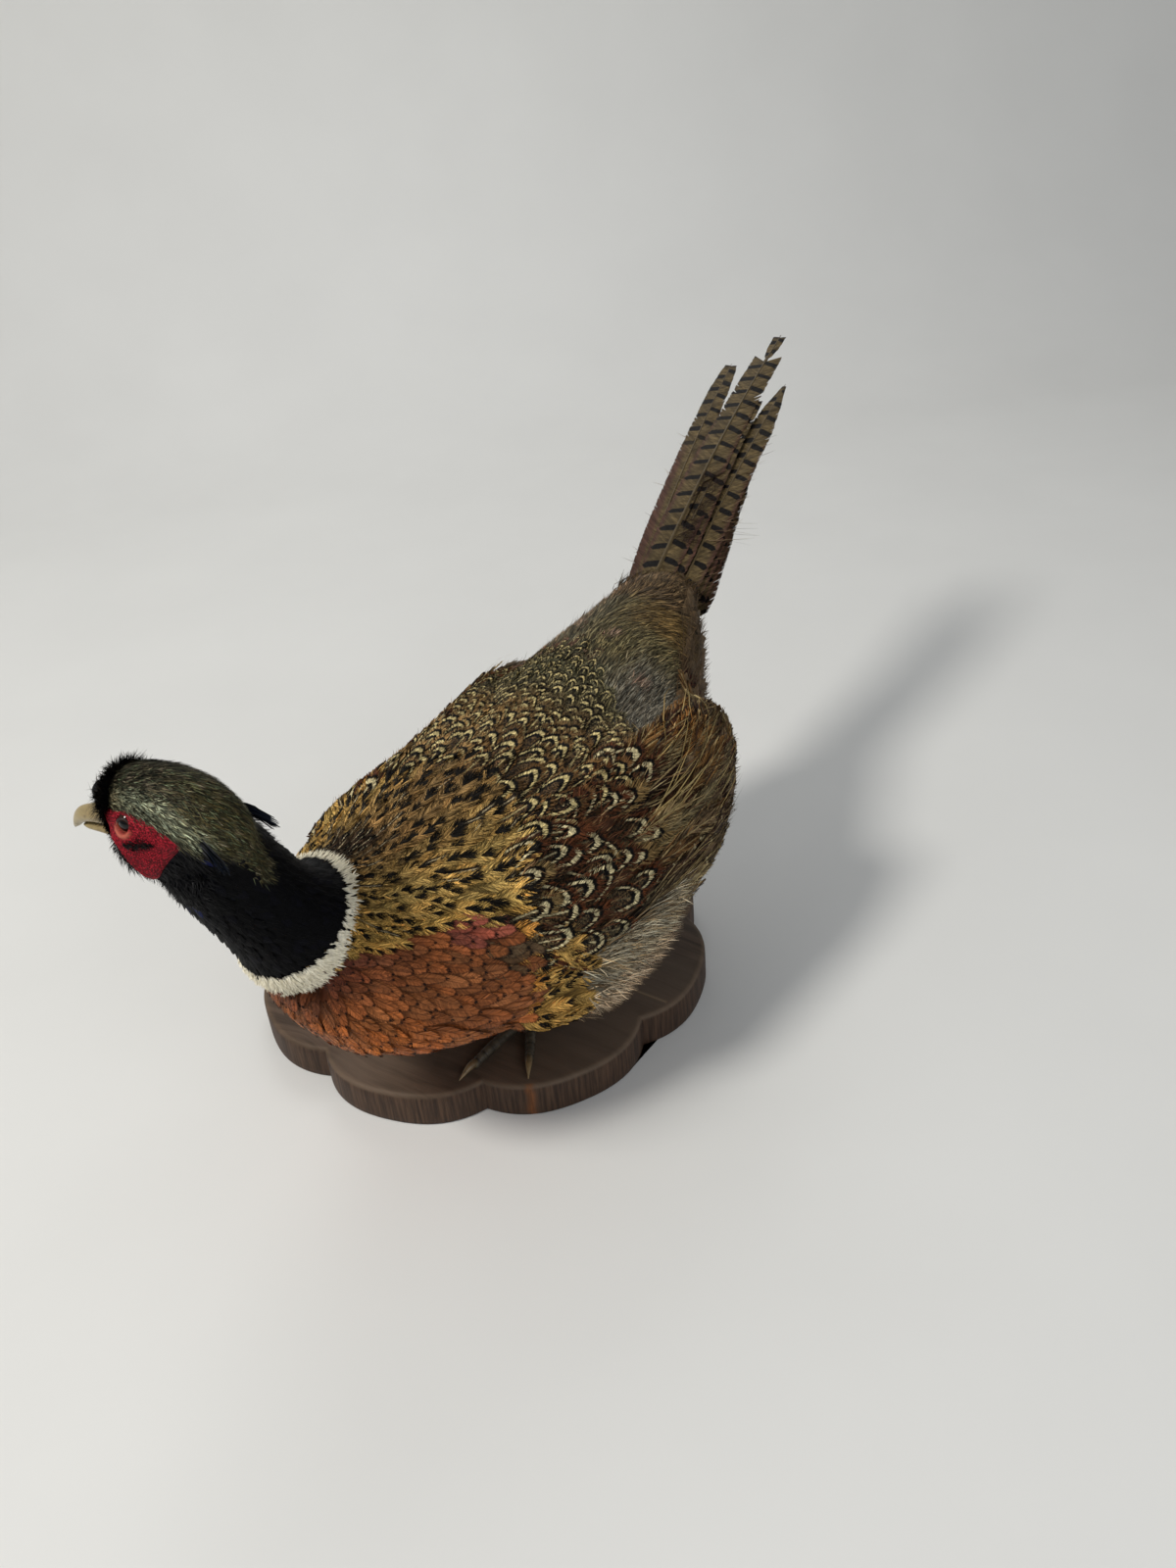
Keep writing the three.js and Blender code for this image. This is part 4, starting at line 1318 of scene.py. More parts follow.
def barbed(spine, side, over, length, half, outline, count, rng, slant, fray, spread, camber, tilt,
           stiff=1.0, lift=0.0, keep=None, square=False):
    """Long feathers built barb by barb: a narrow strip for each bundle of barbs, on both sides.

    spine, side and over hold a line of points and directions for each feather. outline(t) gives
    the vane's width along it, and keep(index, side, t) says which bundles are there. A square
    feather's barbs turn outwards at its tip, where others close up to a point.
    Returns points, faces, each point's share along and across its feather, its feather and a tone.
    """
    number, samples = spine.shape[:2]
    t = (np.arange(count) + 0.5) / count * 0.985
    pitch = (length / count)[:, None]
    found = []
    for hand in (-1.0, 1.0):
        shape = (number, count)
        tone = rng.random(shape)
        closing = (-20 if square else 26) * smooth(t, 0.82, 1.0)
        angle = slant + closing[None] + rng.normal(0, spread, shape)
        angle = np.radians(np.clip(angle, 8, 75))
        wide = outline(t)[None] * half[:, None]
        for _ in range(7):
            met = np.minimum(t[None] + wide * np.tan(angle) / length[:, None], 1.0)
            wide = 0.5 * wide + 0.5 * outline(met) * half[:, None]
        reach = wide / np.cos(angle) * (1 - fray * np.abs(rng.normal(0, 1, shape)))
        if keep is not None:
            reach = reach * keep(np.arange(number)[:, None], hand, t[None])
        if square:
            room = (1 - t[None]) * length[:, None] / (1.25 * np.sin(angle))
            reach = np.minimum(reach, room + 0.6)
        start = t[None] * length[:, None]
        wobble = rng.normal(0, 0.08, shape)
        lean = tilt * rng.normal(0, 1, shape)
        for share in np.arange(BARB_STEPS + 1) / BARB_STEPS:
            d = reach * share
            bow = 1 + 0.25 * share
            s = start + d * np.sin(angle) * bow
            c = hand * d * np.cos(angle) * (1.06 - 0.06 * bow)
            width = pitch * (1.35 - 0.75 * share**2) * stiff
            for edge in (-0.5, 0.5):
                along = s + edge * width
                place = np.clip(along / length[:, None], 0, 1) * (samples - 1)
                low = np.minimum(place.astype(int), samples - 2)
                f = (place - low)[..., None]
                row = np.arange(number)[:, None]
                base, across, normal = (
                    line[row, low] * (1 - f) + line[row, low + 1] * f for line in (spine, side, over)
                )
                past = np.maximum(along - length[:, None], 0)[..., None]
                forward = unit(spine[:, -1] - spine[:, -2])[:, None]
                rise = wobble - camber * c * c + edge * lean * 2 + lift * share**2
                point = base + across * c[..., None] + normal * rise[..., None] + forward * past
                found.append((point, along / length[:, None], c / half[:, None],
                              np.broadcast_to(row, shape), tone))
    strip = 2 * (BARB_STEPS + 1)

    def by_strip(rows):
        rows = np.stack(rows).reshape(2, strip, number, count, *rows[0].shape[2:])
        return np.moveaxis(rows, (2, 3, 0, 1), (0, 1, 2, 3))

    points, along, across, index, tone = (by_strip(rows) for rows in zip(*found))
    faces = repeated(grid_faces(BARB_STEPS + 1, 2), number * count * 2, strip)
    return points.reshape(-1, 3), faces, along.ravel(), across.ravel(), index.ravel(), tone.ravel()


def vane_map(along, across):
    """Shares along and across a feather as a UV map."""
    return np.stack([np.clip(along, 0, 1), np.clip(across, -1, 1) * 0.5 + 0.5], 1)


def shafts(spine, side, over, thick, rise):
    """A thin ridged shaft along each feather. Returns the same six as barbed."""
    number, samples = spine.shape[:2]
    t = np.linspace(0, 1, samples)
    wide = thick[:, None] * (1 - 0.8 * t[None])
    cross = [(-1.0, 0.0), (-0.5, 0.85), (0.5, 0.85), (1.0, 0.0)]
    rows = [spine + side * (wide * a)[..., None] + over * (wide * b + rise)[..., None] for a, b in cross]
    points = np.stack(rows, 2).reshape(-1, 3)
    faces = repeated(grid_faces(samples, 4), number, samples * 4)
    shape = (number, samples, 4)
    along = np.broadcast_to(t[None, :, None], shape).ravel()
    across = np.broadcast_to(np.array([a for a, b in cross]) * 0.02, shape).ravel()
    index = np.broadcast_to(np.arange(number)[:, None, None], shape).ravel()
    return points, faces, along, across, index, np.full(len(points), 0.5)


def joined(first, second):
    """Two of those sets as one, with the second's faces moved past the first's points."""
    second = list(second)
    second[1] = second[1] + len(first[0])
    return [np.concatenate(pair) for pair in zip(first, second)]


def lifted_lines(skin, roots, length, base, slope, swing, bend, samples):
    """Lines along the skin from each root, lifted off it: spine, side and over."""
    steps = samples - 1
    lines, ups, ways = along_skin(skin, roots, [length / steps] * steps, swing, bend)
    height = base + slope[:, None] * np.linspace(0, 1, samples)[None] * length[:, None]
    spine = lines + ups * height[..., None]
    return spine, unit(np.cross(ways, ups)), ups


def vane_outline(t):
    """A rounded tip past the widest place, the same shape that rounding() draws."""
    past = np.clip((t - 0.42) / 0.58, 0, 1)
    return np.where(t < 0.42, 0.35 + 0.65 * smooth(t / 0.42, 0, 1), np.sqrt(1 - past**2))


def pointed_outline(t):
    """Like vane_outline, with a blunt point at the tip."""
    past = np.clip((t - 0.45) / 0.55, 0, 1)
    return np.where(t < 0.45, 0.35 + 0.65 * smooth(t / 0.45, 0, 1), (1 - past**2) ** 0.62)


def quill_outline(t):
    """Nearly full width all along, cut off short at the tip."""
    return np.sqrt(np.maximum(0.0, 1 - np.clip(t, 0, 1) ** 3)) * np.minimum(1, 0.4 + 2.5 * t)


def vanes(skin, roots, length, half, count, paint, rng, *, swing, bend, fray, spread, slant, stem, tilt,
          slope=0.085, base=0.35, patch=0.03, lift=0.25, turn=0.0, outline=vane_outline, samples=7):
    """Barbed feathers that lie along the skin. Returns points, faces, maps and values.

    count is how many bundles of barbs each side has. swing, bend, fray and spread say how much
    chance there is in a feather's way, its curve, its edge and its barbs' slant. stem is half the
    shaft's thickness.
    """
    number = len(roots[0])
    length = length * rng.uniform(0.9, 1.1, number)
    half = half * rng.uniform(0.9, 1.1, number)
    sway = turn + rng.normal(0, swing, number)
    rise = slope * rng.uniform(0.85, 1.3, number)
    bend = rng.normal(0, bend, number)
    spine, side, over = lifted_lines(skin, roots, length, base, rise, sway, bend, samples)
    barbs = barbed(spine, side, over, length, half, outline, count, rng, slant, fray, spread, 0.015, tilt,
                   lift=lift)
    stems = shafts(spine, side, over, np.full(number, stem), 0.12)
    points, faces, along, across, index, tone = joined(barbs, stems)
    seed = rng.random(number)
    corner, size = bake_places(roots[2], roots[3], patch)
    vane = vane_map(along, across)
    values = {"size": np.stack([length, half, seed], 1)[index], "barb": tone}
    shown = places(roots[0] + roots[1] * (0.7 * length)[:, None])
    values.update({key: rows[index] for key, rows in paint(shown, seed).items()})
    return points, faces, {"Vane": vane, "OFBake": corner[index] + vane * size}, values


# ---------------------------------------------------------------- tail

TAIL_ALONG = unit(TAIL_TIP - TAIL_ROOT)
TAIL_ACROSS = unit(np.cross(TAIL_ALONG, UP))
TAIL_OVER = np.cross(TAIL_ACROSS, TAIL_ALONG)
TAIL_LENGTH = float(np.linalg.norm(TAIL_TIP - TAIL_ROOT))
TAIL_STEP = 1.35
TAIL_ARCH = 7.0
# Each feather's distance from the middle line at root and tip, share of full length, half width.
TAIL_RANKS = [
    ((-8.5, 1, 1, 15), (-1, 4, 0.7, 12)),
    ((-17, -25, 0.87, 11), (9, 20, 0.79, 13)),
    ((-19, -19, 0.7, 10), (13, 17, 0.62, 12)),
    ((-20, -18, 0.6, 10), (16, 17, 0.5, 11.5)),
    ((-21, -18, 0.48, 10), (18, 17, 0.4, 11)),
    ((-22, -18, 0.38, 9.5), (19, 18, 0.32, 10)),
]
TAIL_SAMPLES = 25
TAIL_BARBS = 130
STRAY_BARBS = 130
LONG_STRAY_BARBS = 8
FLUFF_BARBS = 230
COVER_HAIRS = 1500
# Shares of the middle feather's length: where its barbs are broken, and bare on one side.
BROKEN_FROM = 0.862
BROKEN_TO = 0.890
BARE_FROM = 0.22
BARE_TO = 0.37


def on_tail(along, across, over):
    """A point given in the tail's own directions."""
    return TAIL_ROOT + TAIL_ALONG * along + TAIL_ACROSS * across + TAIL_OVER * over


def tail_outline(t):
    return np.minimum(1, 0.75 + 1.2 * t) * (1 - 0.35 * t)


def tail_keep(index, hand, t):
    """Barbs lost near the tips of the upper and lower feathers, and beside the middle one's root."""
    kept = np.ones(np.broadcast(index, t).shape)
    middle = index == 0
    gap = (t > BROKEN_FROM) & (t < BROKEN_TO)
    kept = np.where(middle & gap, 0.12, kept)
    end = middle & (t >= BROKEN_TO)
    kept = np.where(end, np.interp(t, [BROKEN_TO, 0.92, 1.0], [0.26, 0.42, 0.50]), kept)
    kept = np.where(index == 2, np.minimum(kept, np.interp(t, [0.82, 0.95, 1.0], [1.0, 0.78, 0.50])), kept)
    kept = np.where((index == 3) & (t > 0.7), np.interp(t, [0.7, 0.86, 1.0], [1.0, 0.62, 0.12]), kept)
    kept = np.where(index > 3, np.minimum(kept, np.interp(t, [0.7, 1.0], [1.0, 0.3])), kept)
    bare = middle & (t > BARE_FROM) & (t < BARE_TO) & (hand > 0)
    return np.where(bare, 0.2, kept)


def tail_material():
    """Olive-buff vanes with dark bars that meet the shaft out of step, and hairy outer edges."""
    g = feather_graph("tail_vanes", 0.55)
    x = vane_inputs(g)
    hand = g.math("SIGN", x.v)
    shift = g.times(hand, g.add(2.2, g.times(x.seed, 3.0)))
    recede = g.add(g.times(hand, 0.13), 0.27)
    back = g.add(g.add(x.along, g.times(x.across, recede)), g.add(shift, g.times(x.seed, 90.0)))
    wander = g.grain((x.along, 0.10), (x.seed, 50.0), hand)
    phase = g.math("FRACT", g.add(g.times(back, 1 / 15.0), g.times(wander, 0.35)))
    far = g.math("ABSOLUTE", g.less(phase, 0.5))
    barb = g.grain((g.less(x.along, g.times(x.across, 0.67)), 1.1), (x.across, 0.1), x.seed)
    ragged = g.times(g.less(barb, 0.5), 0.05)
    lens = g.times(g.step(x.flat, 0.86, 0.60), g.step(x.flat, -0.20, 0.16))
    lens = g.times(g.math("MAXIMUM", lens, g.times(g.step(x.u, 0.55, 0.78), 0.9)), 0.17)
    mark = g.value("mark")
    bar = g.times(g.step(g.add(far, ragged), lens, g.less(lens, 0.04)), mark)
    edge = g.times(g.step(g.add(x.flat, g.times(ragged, 3.0)), 0.55, 0.85), g.step(x.u, 0.85, 0.5))
    plain = g.times(g.less(1.0, mark), g.step(g.add(x.flat, g.times(ragged, 6.0)), 0.2, 0.5))
    edge = g.math("MAXIMUM", edge, plain)
    fine = g.grain((x.along, 0.5), (x.v, 2.0), x.seed, detail=4.0, rough=0.7)
    base = g.mix(g.step(fine, 0.35, 0.7), "#463a25", "#68583a")
    base = g.over(base, "#4e362c", edge)
    colour = g.mix(bar, base, "#0f0c0a")
    colour = g.over(colour, "#241b14", g.step(x.u, 0.975, 0.99))
    # root: how dark the painted shade at the root gets
    return finish_vane(g, x, colour, 0.35, 0.0003, root=0.9)


def shaft_material():
    g = Graph("tail_shafts", Roughness=0.45, Specular_IOR_Level=0.25)
    streak = g.grain((g.parts(g.uv("Vane"))[0], 90.0))
    return g.colour(g.mix(streak, "#342a1c", "#655639"))


def tail_spines():
    """The tail feathers' own lines, from the root to the tip, with their lengths and half widths."""
    lines, lengths, halves = [], [], []
    t = np.linspace(0, 1, TAIL_SAMPLES)
    for rank, pair in enumerate(TAIL_RANKS):
        for k, (start, end, share, half) in enumerate(pair):
            layer = 2 * rank + k
            length = TAIL_LENGTH * share
            rise = TAIL_ARCH * np.sin(math.pi * length * t / TAIL_LENGTH) - TAIL_STEP * layer
            line = TAIL_ROOT + TAIL_ALONG * (length * t)[:, None]
            line = line + TAIL_ACROSS * (start + (end - start) * t)[:, None]
            lines.append(line + TAIL_OVER * rise[:, None])
            lengths.append(length)
            halves.append(half)
    return np.stack(lines), np.array(lengths), np.array(halves, float)


def bowed(start, way, grow, middle, end=0.0):
    """A short line with its middle and its end moved off the straight."""
    return [start, start + way * grow * 0.5 + middle, start + way * grow + end]


def loose_barbs(spine, half, rng):
    """Stray barbs that stand out past the tail's edges, and a few long ones near its root."""
    lines = []
    for _ in range(STRAY_BARBS):
        i = int(rng.choice([0, 2, 3, 3, 4, 5, 7]))
        hand = rng.choice([-1.0, 1.0]) if i == 0 else (-1.0 if i in (2, 4) else 1.0)
        t = rng.uniform(0.12, 0.72)
        at = spine[i, int(t * (TAIL_SAMPLES - 1))]
        out = TAIL_ACROSS * hand
        reach = half[i] * tail_outline(t)
        start = at + out * reach * rng.uniform(0.5, 0.9)
        grow = rng.uniform(4, 11)
        way = unit(out * rng.uniform(0.5, 1.1) + TAIL_ALONG * rng.uniform(0.3, 1.0))
        lift = TAIL_OVER * rng.uniform(-0.3, 0.5)
        lines.append(bowed(start, way, grow, lift, 3 * lift))
    for k in range(LONG_STRAY_BARBS):
        start = spine[3, 6 + k // 3] + TAIL_OVER * 0.8 + TAIL_ACROSS * rng.uniform(2, 8)
        way = unit(TAIL_ACROSS + TAIL_ALONG * rng.uniform(-0.05, 0.22))
        grow = rng.uniform(20, 30)
        lift = TAIL_OVER * rng.uniform(0.5, 2.0)
        bow = TAIL_ALONG * rng.uniform(-2.0, 0.5)
        lines.append(bowed(start, way, grow, lift + bow))
    return lines


def dark_fluff(spine, rng):
    """Curled dark barbs over the bare stretch beside the middle shaft."""
    lines = []
    for _ in range(FLUFF_BARBS):
        start = spine[0, int(rng.integers(4, 10))] + TAIL_ALONG * rng.uniform(0, 10)
        start = start + TAIL_ACROSS * rng.uniform(1, 15) + TAIL_OVER * rng.uniform(0.6, 1.6)
        way = unit(TAIL_ACROSS * rng.uniform(-0.2, 1.0) + TAIL_ALONG * rng.uniform(-0.6, 1.0))
        curl = np.cross(way, TAIL_OVER) * rng.uniform(-3.5, 3.5)
        grow = rng.uniform(5, 13)
        lines.append(bowed(start, way, grow, TAIL_OVER * 0.8 + curl))
    return lines


HAIR_STEPS = 6


def hair_mesh(name, lines, wide, rng, colours, material):
    """Thin tapering ribbons along short lines. colours(seed) gives each ribbon's colour."""
    t = np.linspace(0, 1, HAIR_STEPS)
    taper = wide * (1 - 0.85 * t)[:, None]
    points = []
    for line in lines:
        path = smooth_line(line, HAIR_STEPS)
        way = unit(np.gradient(path, axis=0))
        across = unit(np.cross(way, unit(rng.normal(0, 1, 3))))
        points.append(np.stack([path - across * taper, path + across * taper], 1).reshape(-1, 3))
    number = len(lines)
    faces = repeated(grid_faces(HAIR_STEPS, 2), number, 2 * HAIR_STEPS)
    index = np.repeat(np.arange(number), 2 * HAIR_STEPS)
    seed = rng.random(number)
    base = colours(seed)
    corner, size = bake_places(seed, seed, HAIR_PATCH)
    flat = np.stack([np.tile(np.repeat(t, 2), number), np.tile([0.0, 1.0], number * HAIR_STEPS)], 1)
    values = {"ground": base[index], "fringe": base[index] * 0.7,
              "size": np.stack([seed * 0 + 8, seed * 0 + 0.2, seed], 1)[index]}
    maps = {"Vane": flat, "OFBake": corner[index] + flat * size}
    return make_mesh(name, np.concatenate(points), faces, maps, values, [material])


def hair_piece(name, slot, lines, wide, colours, rng, *nodes):
    """A piece of hairs, each in one of a few colours."""
    shades = np.array([linear(text) for text in colours])
    pick = lambda seed: shades[(seed * len(shades)).astype(int)]
    piece = hair_mesh(name, lines, wide, rng, pick, hair_material(name + "_hair", 0.45))
    settle(piece, slot, *nodes)


def tail_cover(rng):
    """Long hairlike coverts that hide where the tail leaves the body."""
    lines = []
    for _ in range(COVER_HAIRS):
        u = rng.uniform(-1, 1)
        start = rng.uniform(-22, -2)
        end = start + rng.uniform(14, 26)
        dome = (8.5 - 0.45 * max(start, -10)) * math.sqrt(1 - 0.9 * u * u)
        c = -3 + 23 * u
        low = 1.4 + rng.uniform(0, 1.5)
        root = on_tail(start, c * 0.9, dome - 3)
        mid = on_tail((start + end) / 2, c + rng.normal(0, 1.5), dome * 0.6 + 1)
        tip = on_tail(end, c * 1.03 + rng.normal(2, 4.0), low)
        lines.append([root, mid, tip])
    colours = ["#55442c", "#43341f", "#2a2016", "#66522f", "#4e3a26"]
    hair_piece("tail_cover_tufts", "tail_plumage", lines, 0.34, colours, rng)


def tail(rng):
    """The tail's vanes, its shafts and its stray barbs, each as one piece."""
    spine, length, half = tail_spines()
    number = len(spine)
    side = np.broadcast_to(TAIL_ACROSS, spine.shape)
    over = np.broadcast_to(TAIL_OVER, spine.shape)
    points, faces, along, across, index, tone = barbed(
        spine, side, over, length, half, tail_outline, TAIL_BARBS, rng, slant=38, fray=0.03, spread=1.4,
        camber=0.006, tilt=0.05, stiff=1.7, keep=tail_keep, square=True)
    seed = rng.random(number)
    vane = vane_map(along, across)
    bake = np.stack([(index + 0.03 + 0.94 * vane[:, 1]) / number, vane[:, 0] * 0.97], 1)
    mark = np.where(index == 2, smooth(along, 0.50, 0.66), 1.0)
    values = {"size": np.stack([length, half, seed], 1)[index], "barb": tone, "mark": mark}
    maps = {"Vane": vane, "OFBake": bake}
    piece = make_mesh("tail_vanes", points, faces, maps, values, [tail_material()])
    names = [f"tail_feather_{side}_{k}" for side in ("left", "right") for k in range(1, 7)]
    settle(piece, "tail_plumage", *names)
    lift = np.where(np.arange(number) == 0, 1.5, 0.9)
    stems = shafts(spine, side, over, lift, 0.05)
    vane = np.stack([stems[2], stems[3] * 10 + 0.5], 1)
    bake = np.stack([(stems[4] + vane[:, 1]) / number, vane[:, 0] * 0.97], 1)
    maps = {"Vane": vane, "OFBake": bake}
    piece = make_mesh("tail_shafts", stems[0], stems[1], maps, {}, [shaft_material()])
    settle(piece, "tail_plumage")
    lines = loose_barbs(spine, half, rng)
    stray = len(lines)
    lines += dark_fluff(spine, rng)

    def colours(seed):
        base = np.where((seed > 0.6)[:, None], linear("#8a7458"), linear("#4f382f"))
        base[stray:] = linear("#2a1b16") * (0.6 + seed[stray:, None])
        return base

    settle(hair_mesh("tail_loose_barbs", lines, 0.16, rng, colours, hair_material("tail_hair")),
           "tail_plumage")


# ---------------------------------------------------------------- head

EYE_AT = (0.41 * HEAD_HALF_LENGTH, 0.72 * HEAD_HALF_WIDTH, 3.0)
WATTLE_EDGE = [
    (27.4, 2.9), (21.6, 5.2), (14.9, 7.0), (11.3, 7.6), (7.1, 7.4), (3.2, 7.3), (0.0, 6.6),
    (-2.8, 5.7), (-5.5, 3.9), (-8.7, 1.8), (-12.2, -0.6), (-9.7, -3.9), (-5.9, -8.0),
    (-1.6, -13.2), (1.4, -17.6), (4.4, -19.6), (7.6, -18.2), (10.8, -13.9), (13.9, -9.8),
    (15.8, -6.6), (18.4, -4.3), (22.2, -2.4), (25.2, 0.0),
]
WATTLE_CENTRE = (6.0, -5.0)
WATTLE_THICK = 1.7
PEBBLE_WIDE = 0.8
PEBBLE_HIGH = 0.38
# The bare ridge round an eye, and the well behind it that holds the eyeball.
RIDGE_RADIUS = 3.9
RIDGE_WIDE = 0.8
RIDGE_HIGH = 0.7
WELL_DEEP = 4.0


def outline_reach(angle):
    """How far the wattle's edge is from its centre at each angle."""
    edge = np.array(WATTLE_EDGE + WATTLE_EDGE[:1]) - WATTLE_CENTRE
    line = smooth_line(edge, 400)
    around = 2 * math.pi
    turn = np.arctan2(line[:, 1], line[:, 0]) % around
    order = np.argsort(turn)
    reach = np.hypot(line[:, 0], line[:, 1])
    return np.interp(angle % around, turn[order], reach[order], period=around)


def in_wattle(at, grow=0.0):
    """Whether points of the head lie behind a wattle."""
    a, b = at.ahead - WATTLE_CENTRE[0], at.above - WATTLE_CENTRE[1]
    near = np.hypot(a, b) < outline_reach(np.arctan2(b, a)) + grow
    return near & (np.abs(at.left) > 6) & (at.over_ring > 30)


def cell_relief(points, size):
    """How high a pebble stands at each point, 0 in the grooves and 1 on top."""
    out = np.empty(len(points))
    for k, p in enumerate(points / size):
        d = noise.voronoi(Vector(p))[0]
        out[k] = min(1.0, (d[1] - d[0]) * 1.6)
    return out


def cheek_hit(skin, sign, ahead, above):
    """Where a level line from outside the head meets one side of it, or None."""
    start = on_head(ahead, sign * 40.0, above)
    return skin.tree.ray_cast(Vector(start), Vector(-sign * LEFT), 60.0)[0]


def eye_point(sign):
    """The middle of an eyeball."""
    return on_head(EYE_AT[0], sign * EYE_AT[1], EYE_AT[2])


def wattle_material():
    g = Graph("crimson_skin", Roughness=0.6, Specular_IOR_Level=0.12)
    rise = g.value("rise")
    broad = g.noise(g.position(), 160.0, 3.0)
    fine = g.noise(g.position(), 1400.0, 3.0)
    colour = g.mix(g.step(rise, 0.05, 0.65), "#45070e", "#a01e2c")
    colour = g.over(colour, "#64101b", g.step(broad, 0.55, 0.72), 0.7)
    colour = g.over(colour, "#c06a55", g.value("pink"), 0.8)
    g.bump(fine, 0.00025, 0.5)
    return g.colour(g.shade(colour, g.add(0.8, g.times(fine, 0.4))))


def wattle(skin, sign):
    """The bare crimson skin round an eye: a grid laid over the cheek, with small pebbles."""
    turns, steps = 170, 60
    angle = np.linspace(0, 2 * math.pi, turns, endpoint=False)
    share = np.linspace(0, 1, steps) ** 0.85
    reach = outline_reach(angle)
    a = (WATTLE_CENTRE[0] + share[:, None] * (reach * np.cos(angle))[None]).ravel()
    b = (WATTLE_CENTRE[1] + share[:, None] * (reach * np.sin(angle))[None]).ravel()
    place = on_head(a, sign * 10.0, b)
    for k, (ahead, above) in enumerate(zip(a, b)):
        hit = cheek_hit(skin, sign, ahead, above)
        if hit is not None:
            place[k] = hit
    place, normal = skin.near(place)
    edge = np.repeat(share, turns)
    pad = WATTLE_THICK * np.sqrt(np.maximum(0, 1 - edge**6)) + 0.15
    pebble = cell_relief(place, PEBBLE_WIDE)
    eye = eye_point(sign)
    from_eye = np.linalg.norm((place - eye) - ((place - eye) @ LEFT)[:, None] * LEFT, axis=1)
    well = smooth(from_eye, 3.3, 2.6)
    rim = np.exp(-(((from_eye - RIDGE_RADIUS) / RIDGE_WIDE) ** 2))
    pebbled = (1 - 0.8 * rim) * smooth(1 - edge, 0.0, 0.08)
    height = pad + PEBBLE_HIGH * pebble * pebbled + RIDGE_HIGH * rim - WELL_DEEP * well
    points = place + normal * height[:, None]
    at = places(points)
    pink = rim * smooth(at.above - EYE_AT[2], 0.5, -2.0) + smooth(at.above, -17, -21) * 0.5
    points = np.vstack([points, points[:turns].mean(0)])
    faces = grid_faces(steps, turns, wrap=True)
    if sign > 0:
        faces = faces[:, ::-1]
    flat = np.stack([(a + 15) / 46, (b + 25) / 46], 1)
    flat = np.vstack([flat, flat[:turns].mean(0)])
    with_hub = lambda x: np.append(x, x[:turns].mean())
    values = {"rise": with_hub(pebble), "pink": with_hub(np.clip(pink, 0, 1))}
    name = f"wattle_skin_{side_name(sign)}"
    settle(make_mesh(name, points, faces, {"OFBake": flat}, values, [wattle_material()]), "wattle")


def eye_material():
    g = Graph("glass_eye", Roughness=0.08, Specular_IOR_Level=0.3)
    far = g.value("far")
    spoke = g.noise(g.position(), 900.0, 3.0)
    iris = g.mix(spoke, "#1d0d06", "#3d2010")
    colour = g.mix(g.step(far, 0.50, 0.54), "#040404", iris)
    colour = g.over(colour, "#1a0f0a", g.step(far, 0.78, 0.86))
    return g.colour(colour)


def eyeball(sign):
    rings, around = 28, 40
    polar = np.linspace(0, math.pi, rings)
    turn = full_turn(around)[None, :, None]
    out = np.cos(polar)[:, None, None] * (sign * LEFT) * np.ones((1, around, 1))
    flat = np.sin(polar)[:, None, None] * (np.cos(turn) * AHEAD + np.sin(turn) * ABOVE)
    points = (eye_point(sign) + EYE_RADIUS * (out + flat)).reshape(-1, 3)
    faces = grid_faces(rings, around, wrap=True)
    if sign < 0:
        faces = faces[:, ::-1]
    far = np.repeat(np.sin(np.minimum(polar, math.pi / 2)) + (polar > math.pi / 2), around)
    name = side_name(sign)
    piece = make_mesh(f"eyeball_{name}", points, faces, {}, {"far": far}, [eye_material()])
    settle(piece, "eye", f"eye_{name}")


def lid_material():
    g = Graph("eyelid_skin", Roughness=0.5, Specular_IOR_Level=0.4)
    spots = g.noise(g.position(), 1100.0, 3.0)
    colour = g.mix(g.value("low"), "#200e0b", "#8a3b20")
    g.bump(spots, 0.0002, 0.6)
    return g.colour(g.shade(colour, g.add(0.7, g.times(spots, 0.6))))


def eyelid(sign):
    """A thin fleshy ring where the lids meet the eyeball."""
    count = 44
    turn = np.linspace(0, 2 * math.pi, count, endpoint=False)
    radius = 3.15 - 0.25 * np.abs(np.sin(turn))
    out = math.sqrt(EYE_RADIUS**2 - 3.0**2)
    ring = eye_point(sign) + (
        (radius * np.cos(turn))[:, None] * AHEAD
        + (radius * np.sin(turn))[:, None] * ABOVE
        + (sign * out) * LEFT
    )
    thick = 0.5 + 0.12 * np.sin(turn * 2 + 1)
    around = 8
    way = unit(np.roll(ring, -1, 0) - np.roll(ring, 1, 0))
    out_way = np.broadcast_to(sign * LEFT, ring.shape)
    third = np.cross(way, out_way)
    spin = full_turn(around)[None, :, None]
    round_way = np.cos(spin) * out_way[:, None] + np.sin(spin) * third[:, None]
    points = (ring[:, None] + thick[:, None, None] * round_way).reshape(-1, 3)
    faces = grid_faces(count + 1, around, wrap=True) % len(points)
    low = np.repeat(smooth(np.sin(turn - 0.5), 0.1, -0.5), around)
    name = f"eyelid_{side_name(sign)}"
    settle(make_mesh(name, points, faces, {}, {"low": low}, [lid_material()]), "wattle")


def horn_material(name, base, tip, rough=0.32):
    """Horn, streaked along its length. The value share is 0 at its root and 1 at its tip."""
    g = Graph(name, Roughness=rough, Specular_IOR_Level=0.5)
    p = g.position()
    stretch = {0: p, 1: (260.0, 260.0, 1500.0)}
    stretched = g.node("ShaderNodeVectorMath", stretch, operation="MULTIPLY").outputs[0]
    streak = g.noise(stretched, 1.0, 4.0)
    stain = g.noise(p, 240.0, 4.0, 0.6)
    colour = g.mix(g.value("share"), base, tip)
    colour = g.over(colour, "#4a3c28", g.step(stain, 0.52, 0.68), 0.55)
    colour = g.over(colour, "#120d08", g.value("pit"))
    g.bump(streak, 0.0002, 0.5)
    return g.colour(g.shade(colour, g.add(0.78, g.times(streak, 0.44))))


